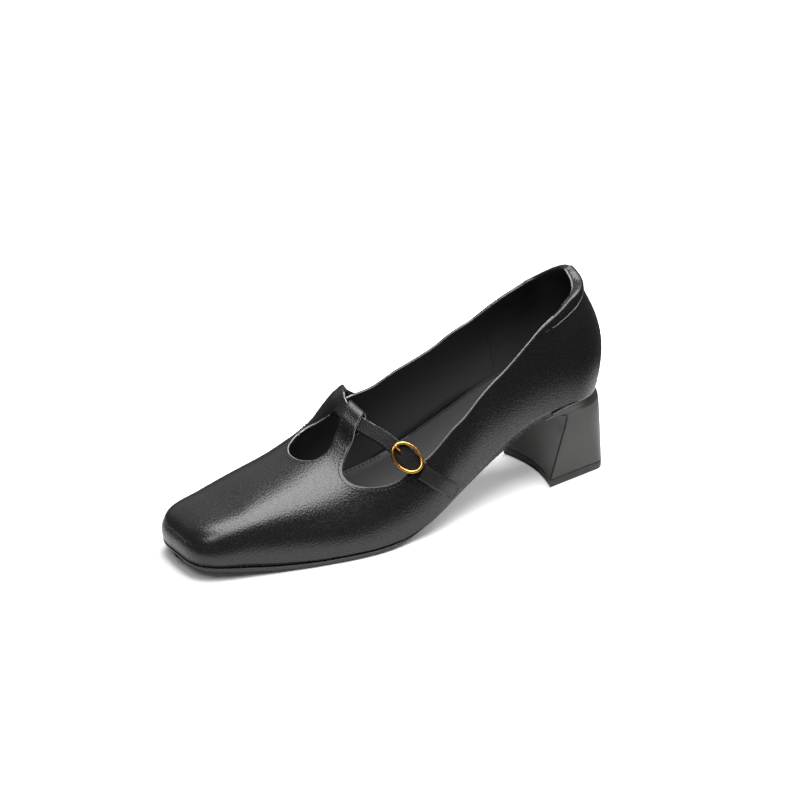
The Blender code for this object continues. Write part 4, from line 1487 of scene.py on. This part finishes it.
@dataclass
class HeelBlock:
    """Flared heel with its edge lines and top piece."""

    shop: Workshop
    gap: float = 0.3
    base: float = 4.2
    top_piece: float = 4.0
    levels: int = 120
    round_steps: int = 128
    breast_at: float = 0.72
    turn_until: float = 0.6
    line_wide: float = 0.5
    line_back: float = 0.1
    line_in: float = 0.995
    line_top: float = 0.94
    line_fade: float = 0.08
    seam_wide: float = 0.34
    seam_out: float = 0.5
    seam_lift: float = 0.3
    seam_span: Pair = (0.06, 0.66)
    seam_centre: Pair = (22.0, 0.0)
    top_centre: Pair = (20.0, 0.0)
    corner_angle: float = 0.7
    corner_round: float = 0.45

    def ring(self, share: Array, w: Array) -> Array:
        """Plan of the heel at shares of its height and places round it.

        Args:
            share: Share of the height from the top piece to the seat.
            w: Place round the ring: the sides and back first, the hollow breast after them.

        Returns:
            Plan points.
        """

        def col(name: str) -> Array:
            """Column of the heel's table at the shares."""
            return read_table(HEEL_LEVELS, "share", name, share)

        back, front, turn, power = col("back"), col("front"), col("turn"), col("power")
        breast_at, until = self.breast_at, self.turn_until
        p = np.clip(w / breast_at, 0.0, 1.0) * 2.0 - 1.0
        angle = np.abs(p)
        straight = np.clip((angle - until) / (1.0 - until), 0.0, 1.0)
        turned = np.clip(angle / until, 0.0, 1.0) * math.pi / 2
        x = back + turn * (1.0 - np.cos(turned) ** (2.0 / power)) + straight * (front - back - turn)
        lack = np.clip(1.0 - (x - back) / turn, 0.0, 1.0)
        width = col("half_back") + (col("half_front") - col("half_back")) * (x - back) / (front - back)
        half = width * np.clip(1.0 - lack ** power, 0.0, 1.0) ** (1.0 / power)
        side = np.where(p > 0, 1.0, -1.0)
        plan = np.stack([x, -side * half], 1)
        t = 1.0 - 2.0 * np.clip((w - breast_at) / (1.0 - breast_at), 0.0, 1.0)
        breast = np.stack([front - col("hollow") * (1.0 - t * t), -t * col("half_front")], 1)
        return np.where((w > breast_at)[:, None], breast, plan)

    def height(self, share: Array, x: Array) -> Array:
        """Height of a point of the block."""
        seat = LAST.at("feather", x) - self.gap
        return self.base + share * (seat - self.base)

    def build_block(self) -> None:
        """Heel block with softened corners."""

        def shape(u: Array, w: Array) -> Array:
            """Points at shares of the height and round the ring."""
            plan = self.ring(u, w)
            return np.column_stack([plan, self.height(u, plan[:, 0])])

        bm = loft(self.levels, self.round_steps, shape, True)
        corners = [e for e in bm.edges if len(e.link_faces) == 2 and e.calc_face_angle() > self.corner_angle]
        bmesh.ops.bevel(
            bm,
            geom=corners,
            offset=self.corner_round,
            offset_type="OFFSET",
            segments=3,
            profile=0.5,
            affect="EDGES",
            material=-1,
        )
        finish_piece("heel_block", bm, [self.shop.get(HEEL_COVER)], Slot.HEEL, ("heel",), crease_deg=40.0)

    def build_lines(self) -> None:
        """Thin dark bead along both edges of the breast and a bead round the seat whose pale grey is a painted
        highlight.
        """
        bm = bmesh.new()
        share = np.linspace(0.0, self.line_top, 90)
        for sign in (1.0, -1.0):
            x = read_table(HEEL_LEVELS, "share", "front", share)
            y = sign * read_table(HEEL_LEVELS, "share", "half_front", share)
            line = np.column_stack([x - self.line_back, y * self.line_in, self.height(share, x)])
            fade = np.clip((1.0 - np.linspace(0.0, 1.0, len(line))) / self.line_fade, 0.1, 1.0)
            merge(bm, tube(line, self.line_wide * fade, BEAD_SIDES))
        finish_piece("heel_edge_lines", bm, [self.shop.get(HEEL_LINE)], Slot.HEEL)
        w = np.linspace(*self.seam_span, 160)
        plan = self.ring(np.ones_like(w), w)
        spread = plan + unit(plan - np.array(self.seam_centre)) * self.seam_out
        line = np.column_stack([spread, self.height(np.ones_like(w), plan[:, 0]) + self.seam_lift])
        seam = tube(line, np.full(len(w), self.seam_wide), BEAD_SIDES)
        finish_piece("heel_seat_seam", seam, [self.shop.get(SEAM_HIGHLIGHT)], Slot.HEEL)

    def build_top_piece(self) -> None:
        """Rubber top piece with worn-round edges."""
        profile = np.array([(-0.3, 1.0), (0.0, 0.93), (0.0, 0.12), (-0.12, 0.03), (-0.45, 0.0)])

        def shape(u: Array, w: Array) -> Array:
            """Points at shares of the profile and round the ring."""
            plan = self.ring(0.0 * u, w)
            row = row_at(profile, u)
            plan = plan + unit(plan - np.array(self.top_centre)) * row[:, :1]
            return np.column_stack([plan, row[:, 1] * self.top_piece])

        bm = loft(len(profile) - 1, self.round_steps, shape, True)
        finish_piece("heel_top", bm, [self.shop.get(RUBBER)], Slot.TOP_PIECE, ("heel_top_piece",), crease_deg=50.0)

    def build(self) -> None:
        """Make the heel's pieces."""
        self.build_block()
        self.build_lines()
        self.build_top_piece()


def merge(target: bmesh.types.BMesh, part: bmesh.types.BMesh) -> None:
    """Add one mesh to another and free it."""
    mesh = bpy.data.meshes.new("part")
    part.to_mesh(mesh)
    part.free()
    target.from_mesh(mesh)
    bpy.data.meshes.remove(mesh)


def tube(line: Array, radius: Array, sides: int) -> bmesh.types.BMesh:
    """Round rod along a line with a radius at each point.

    Args:
        line: Points of the centre line.
        radius: Radius at each point.
        sides: Number of sides.

    Returns:
        The closed mesh.
    """
    run = unit(np.gradient(line, axis=0))
    steep = (np.abs(run[:, 2]) > STEEP).any()
    side = unit(np.cross(run, (1.0, 0.2, 0.0) if steep else (0.0, 0.0, 1.0)))
    up = np.cross(side, run)

    def shape(u: Array, w: Array) -> Array:
        """Points at shares along the line and round it."""
        turn = 2.0 * math.pi * w
        reach = row_at(radius[:, None], u)
        return row_at(line, u) + reach * (
            row_at(side, u) * np.cos(turn)[:, None] + row_at(up, u) * np.sin(turn)[:, None]
        )

    return loft(len(line) - 1, sides, shape, True)


@dataclass
class Straps:
    """Cross strap through the T-bar loop and buckle strap on the lateral quarter."""

    shop: Workshop
    thick: float = 1.6
    axis_y: float = -4.0
    axis_z: float = 24.0
    tilt: float = 0.64
    arm_start: float = 0.14
    arm_end: float = 0.41
    arm_ease: float = 0.05
    arm_bulge: float = 1.1
    bulge_shares: tuple[float, ...] = (0.1, 0.2, 0.33, 0.43)
    # These three fields place the painted highlight lines along the strap's edges.
    highlight_start: float = 0.36
    highlight_reach: float = 0.7
    highlight_height: float = 0.1
    edge_power: int = 12
    stitch_start: float = 0.47
    stitch_stop: float = 14.0
    pitch: float = 0.8
    tab_half: float = 4.0
    tab_thick: float = 1.2
    tab_lift: float = 0.4
    tab_sunk: float = 0.35
    tab_clear: float = 0.6
    tab_side: float = 0.3
    tab_face: float = 0.55
    tab_row: Pair = (0.2, 0.94)
    seam_inset: float = 1.0
    around: int = 48

    def frames(self) -> tuple[Array, Array, Array, Array]:
        """Centre points, run, across and outward directions along the cross strap."""
        path = spline(STRAP_PATH, self.pitch)
        run = unit(np.gradient(path, axis=0))
        out = path - (0.0, self.axis_y, self.axis_z)
        out[:, 0] = out[:, 2] * self.tilt
        out = unit(out - run * (out * run).sum(axis=1)[:, None])
        return path, run, np.cross(out, run), out

    def edges(self) -> tuple[Array, Array, Array, Array]:
        """Centre points, front edge, back edge and outward directions along the cross strap."""
        path, run, across, _ = self.frames()
        share = np.linspace(0.0, 1.0, len(path))
        arm = np.stack([read_table(ARM_EDGE, "share", axis, share) for axis in ("x", "y", "z")], 1)
        loose = np.clip((share - self.arm_end) / self.arm_ease, 0.0, 1.0)[:, None]
        band = path - across * read_table(STRAP_WIDTHS, "share", "front", share)[:, None]
        front = arm + (band - arm) * loose
        back = path + across * read_table(STRAP_WIDTHS, "share", "back", share)[:, None]
        return path, front, back, unit(np.cross(run, back - front))

    def build_strap(self) -> None:
        """Cross strap, flared at its root, with painted highlight lines on its edges and a stitch row along each
        edge.
        """
        path, front, back, out = self.edges()

        def shape(u: Array, w: Array) -> Array:
            """Points at shares along the strap and round its section."""
            a = np.sin(math.pi / 2 * (4.0 * np.abs(w - 0.5) - 1.0))
            top = np.where(w < 0.5, 1.0, -1.0)
            side = np.where((a > 0)[:, None], row_at(back, u), row_at(front, u)) - row_at(path, u)
            a = np.abs(a)
            swell = np.interp(u, self.bulge_shares, (0.0, self.arm_bulge, self.arm_bulge, 0.0))
            # The factor makes the hump a (1 - a)^2 reach 1 at its top.
            swell = swell * np.where(np.abs(w - 0.5) < 0.25, 6.75 * a * (1.0 - a) ** 2, 0.0)
            n = self.thick / 2 * top * np.sqrt(np.clip(1.0 - a**self.edge_power, 0.0, 1.0)) + swell
            return row_at(path, u) + side * a[:, None] + row_at(out, u) * n[:, None]

        bm = loft(len(path) - 1, self.around, shape, True)
        shares = np.array((self.arm_start, self.arm_end, self.highlight_start))
        root, arm, bare = (shares * len(path)).astype(int)
        for face in bm.faces:
            spot = np.array(face.calc_center_median())
            if ((path - spot) ** 2).sum(axis=1).argmin() < arm:
                face.material_index = 2
            # Faces along the edges that face outward get the painted highlight material.
            for line, begin, end in ((back, bare, len(path)), (front, root, arm), (back, 2, root)):
                k = int(((line - spot) ** 2).sum(axis=1).argmin())
                near = np.linalg.norm(line[k] - spot) < self.highlight_reach
                if near and begin <= k < end and (spot - line[k]) @ out[k] > self.highlight_height:
                    face.material_index = 1
        materials = [self.shop.get(STRAP), self.shop.get(EDGE_HIGHLIGHT), self.shop.get(CALF)]
        finish_piece("instep_strap_band", bm, materials, Slot.STRAP, ("instep_strap",), crease_deg=60.0)
        rows = bmesh.new()
        last = len(path) - int(self.stitch_stop / self.pitch)
        begin = int(self.stitch_start * len(path))
        for edge in (back, front):
            line = edge + unit(path - edge) * self.seam_inset + out * self.thick / 2
            FINE_STITCH.row(rows, line[begin:last], out[begin:last])
        finish_piece("strap_stitches", rows, [self.shop.get(THREAD)], Slot.STRAP)

    def tab_frames(self) -> tuple[Array, Array, Array]:
        """Centre points, across and outward directions of the buckle strap."""
        span = LAST.cross_span
        rows = [(p.x, span * float(LAST.cross_where(p.x, 1.0, 2, p.z))) for p in TAB_LINE]
        flat = spline(rows, self.pitch)
        here, normal, _, _ = upper_frame(flat[:, 0], flat[:, 1])
        run = unit(np.gradient(here, axis=0))
        return here, unit(np.cross(normal, run)), normal

    def build_tab(self) -> None:
        """Buckle strap that follows the quarter, stitched round its edge."""
        here, across, normal = self.tab_frames()

        def on_wall(u: Array, a: Array, lift: Array) -> Array:
            """Points over the quarter at shares along, places across and lifts."""
            spot = row_at(here, u) + row_at(across, u) * a[:, None]
            low = LAST.at("feather", spot[:, 0]) + self.tab_clear
            c = LAST.cross_where(spot[:, 0], 1.0, 2, np.maximum(spot[:, 2], low))
            base, out, _, _ = upper_frame(spot[:, 0], c * LAST.cross_span)
            return base + out * lift[:, None]

        def shape(u: Array, w: Array) -> Array:
            """Points at shares along the strap and round its section."""
            turn, sunk = 2.0 * math.pi * w, self.tab_sunk
            cos, sin = np.cos(turn), np.sin(turn)
            a = self.tab_half * np.sign(cos) * np.abs(cos) ** self.tab_side
            n = 0.5 + 0.5 * np.sign(sin) * np.abs(sin) ** self.tab_face
            return on_wall(u, a, self.tab_lift - sunk + (self.tab_thick + sunk) * n)

        bm = loft(len(here) - 1, self.around, shape, True)
        finish_piece("buckle_strap_band", bm, [self.shop.get(TAB)], Slot.STRAP, ("buckle_strap",), crease_deg=60.0)
        rows = bmesh.new()
        reach = self.tab_half - self.seam_inset
        up = self.tab_lift + self.tab_thick
        u = np.linspace(*self.tab_row, 40)
        for sign in (1.0, -1.0):
            line = on_wall(u, np.full_like(u, sign * reach), np.full_like(u, up))
            FINE_STITCH.row(rows, line, row_at(normal, u))
        a = np.linspace(-reach, reach, 12)
        end = np.full_like(a, self.tab_row[1])
        FINE_STITCH.row(rows, on_wall(end, a, np.full_like(a, up)), row_at(normal, end))
        finish_piece("buckle_strap_stitches", rows, [self.shop.get(THREAD)], Slot.STRAP)

    def build(self) -> None:
        """Make both straps."""
        self.build_strap()
        self.build_tab()


BUCKLE_BAR = ((-6.1, 1.4), (-5.4, -0.8), (-4.5, -1.7), (4.5, -1.7), (5.4, -0.8), (6.1, 1.4))
BUCKLE_PIN = ((-2.4, -0.2), (-3.8, 0.4), (-5.2, 1.9), (-7.0, 3.4), (-9.2, 3.7))


@dataclass
class Buckle:
    """Oval buckle with its bar and prong."""

    shop: Workshop
    straps: Straps
    long: float = 8.4
    wide: float = 6.1
    wire: float = 0.85
    tall: float = 1.25
    lift: float = 1.9
    bend: float = 0.5
    stop: float = 9.0
    bar_wire: float = 0.55
    pin_wire: float = 0.75
    squareness: float = 0.75
    steps: int = 96

    def axes(self) -> tuple[Array, Array, Array, Array]:
        """Centre, run, across and outward directions of the strap at the buckle."""
        path, run, across, out = self.straps.frames()
        k = int(round(len(path) - 1 - self.stop / self.straps.pitch))
        return path[k], run[k], across[k], out[k]

    def build(self) -> None:
        """Make the ring with its bar, and the prong."""
        centre, run, across, out = self.axes()

        def shape(u: Array, w: Array) -> Array:
            """Points at shares round the ring and round its wire."""
            turn, roll = 2.0 * math.pi * u, 2.0 * math.pi * w
            ring = np.stack([self.long * np.cos(turn), self.wide * np.sin(turn)], 1)
            away = unit(np.stack([np.cos(turn) / self.long, np.sin(turn) / self.wide], 1))
            cos, sin = np.cos(roll), np.sin(roll)
            flat = ring + away * (self.wire * np.sign(cos) * np.abs(cos) ** self.squareness)[:, None]
            level = self.lift - self.bend * (1.0 - np.cos(2.0 * turn)) / 2
            level = level + self.tall * np.sign(sin) * np.abs(sin) ** self.squareness
            return centre + flat[:, :1] * run + flat[:, 1:] * across + level[:, None] * out

        gold = [self.shop.get(GOLD)]
        bm = loft(self.steps, 20, shape)
        bar = spline(BUCKLE_BAR, 0.5)
        line = centre + bar[:, :1] * across + bar[:, 1:] * out
        merge(bm, tube(line, np.full(len(line), self.bar_wire), 10))
        finish_piece("buckle_ring", bm, gold, Slot.BUCKLE, ("buckle_frame",))
        pin = spline(BUCKLE_PIN, 0.25)
        line = centre + pin[:, :1] * run + pin[:, 1:] * out
        place = np.linspace(0.0, 1.0, len(line))
        radius = self.pin_wire * np.clip(np.sin(np.pi * np.clip(place, 0.002, 0.998)), 0.0, 1.0) ** 0.28
        finish_piece("buckle_pin", tube(line, radius, 12), gold, Slot.BUCKLE, ("buckle_prong",))


class SoftBox(NamedTuple):
    """A soft box: its place and the point it faces in metres, its two sides and its power."""

    name: str
    place: tuple[float, float, float]
    aim: tuple[float, float, float]
    size: Pair
    watts: float


SOFT_BOXES = (
    SoftBox("overhead_box", (-0.28, 0.05, 1.35), (-0.28, 0.05, 0.0), (1.2, 1.5), 46.0),
    SoftBox("toe_card", (0.95, 0.75, 1.35), (0.95, 0.75, 0.0), (0.8, 0.7), 13.0),
    SoftBox("far_card", (-0.4, -1.5, 0.9), (0.0, 0.0, 0.0), (2.6, 1.1), 3.8),
)


@dataclass
class Studio:
    """Pale floor, soft lights and the photograph's camera."""

    turn_deg: float = 30.8
    rise_deg: float = 26.7
    distance: float = 2500.0
    focal_mm: float = 221.6
    sensor_mm: float = 36.0
    clip: Pair = (0.1, 50.0)
    room_light: float = 0.1
    target: tuple[float, float, float] = (125.0, 0.0, 40.0)
    aim_right: float = 7.8
    aim_up: float = 20.2
    floor_half: float = 3.0
    # Pool fields: a painted pool of light that non-camera rays see near the shoe, painted dark further out.
    pool_long: float = 0.16
    pool_wide: float = 0.08
    pool_span: Pair = (1.0, 1.5)
    painted_pool_light: float = 0.75
    painted_far_shade: float = 0.04
    seen_tone: float = 0.9
    # Painted glow for camera rays, strong towards the heel, that lifts the shade under the waist.
    painted_glow_x: Pair = (-0.03, 0.05)
    painted_glow: Pair = (0.3, 0.02)
    floor_sink: float = 0.0002

    def floor(self) -> None:
        """Large pale floor under the shoe with painted light: a painted glow, seen only by the camera, lifts the
        shade under the waist and heel, and other rays see a painted pool of light near the shoe that turns dark
        further out.
        """
        bm = bmesh.new()
        bmesh.ops.create_grid(bm, x_segments=4, y_segments=4, size=self.floor_half)
        mesh = bpy.data.meshes.new("studio_floor")
        bm.to_mesh(mesh)
        bm.free()
        mat = bpy.data.materials.new("pale_floor_painted_light")
        mat.use_nodes = True
        kit = NodeKit(mat.node_tree)
        rays = kit.add("ShaderNodeLightPath").outputs["Is Camera Ray"]
        place = kit.add("ShaderNodeTexCoord").outputs["Object"]
        pool = (1.0 / self.pool_long, 1.0 / self.pool_wide, 0.0)
        oval = kit.add("ShaderNodeVectorMath", {0: place, 1: pool}, operation="MULTIPLY")
        away = kit.add("ShaderNodeVectorMath", {0: oval.outputs["Vector"]}, operation="LENGTH")
        far = kit.ramp(away.outputs["Value"], self.pool_span)
        tones = (self.painted_pool_light, self.painted_far_shade, self.seen_tone)
        tone, painted_far_shade, seen = ((grey, grey, grey, 1.0) for grey in tones)
        axes = kit.add("ShaderNodeSeparateXYZ", {"Vector": place})
        painted_glow = kit.ramp(axes.outputs["X"], self.painted_glow_x, self.painted_glow)
        # Base colour holds the painted pool for other rays; emission holds the painted glow for camera rays.
        kit.feed(
            mat.node_tree.nodes["Principled BSDF"],
            {
                "Roughness": 0.6,
                "Specular IOR Level": 0.2,
                "Base Color": kit.mix(rays, kit.mix(far, tone, painted_far_shade), seen),
                "Emission Color": kit.maths("MULTIPLY", rays, painted_glow),
                "Emission Strength": 1.0,
            },
        )
        mesh.materials.append(mat)
        obj = bpy.data.objects.new("studio_floor", mesh)
        obj.location = (0.0, 0.0, -self.floor_sink)
        bpy.context.scene.collection.objects.link(obj)

    def lights(self) -> None:
        """Soft boxes and a dim room."""
        world = bpy.data.worlds.new("studio_room")
        world.use_nodes = True
        room = world.node_tree.nodes["Background"]
        room.inputs["Color"].default_value = (1.0, 1.0, 1.0, 1.0)
        room.inputs["Strength"].default_value = self.room_light
        bpy.context.scene.world = world
        for box in SOFT_BOXES:
            data = bpy.data.lights.new(box.name, "AREA")
            data.shape = "RECTANGLE"
            data.size, data.size_y = box.size
            data.energy = box.watts
            obj = bpy.data.objects.new(box.name, data)
            obj.location = box.place
            obj.rotation_euler = (Vector(box.aim) - Vector(box.place)).to_track_quat("-Z", "Y").to_euler()
            bpy.context.scene.collection.objects.link(obj)

    def camera(self) -> None:
        """Camera at the photograph's viewing angle."""
        turn, rise = math.radians(self.turn_deg), math.radians(self.rise_deg)
        right = np.array((-math.cos(turn), math.sin(turn), 0.0))
        back = np.array(
            (math.sin(turn) * math.cos(rise), math.cos(turn) * math.cos(rise), math.sin(rise))
        )
        up = np.cross(back, right)
        spot = np.array(self.target) + np.array(GROUND_SHIFT)
        eye = spot + back * self.distance
        back = unit(eye - (spot + right * self.aim_right + up * self.aim_up))
        right = unit(np.cross((0.0, 0.0, 1.0), back))
        up = np.cross(back, right)
        data = bpy.data.cameras.new("photo_camera")
        data.lens = self.focal_mm
        data.sensor_width = self.sensor_mm
        data.clip_start, data.clip_end = self.clip
        obj = bpy.data.objects.new("photo_camera", data)
        pose = Matrix((right, up, back)).transposed().to_4x4()
        pose.translation = Vector(eye * MM)
        obj.matrix_world = pose
        bpy.context.scene.collection.objects.link(obj)
        bpy.context.scene.camera = obj

    def build(self) -> None:
        """Set the whole stage."""
        self.floor()
        self.lights()
        self.camera()
        bpy.context.scene.view_settings.view_transform = "Standard"


def main() -> None:
    """Build the shoe's pieces and the stage in order."""
    logging.basicConfig(level=logging.INFO, format="%(name)s %(message)s")
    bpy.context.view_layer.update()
    shop = Workshop()
    Upper(shop).build()
    Bottom(shop).build()
    HeelBlock(shop).build()
    straps = Straps(shop)
    straps.build()
    Buckle(shop, straps).build()
    Studio().build()


if __name__ == "__main__":
    main()
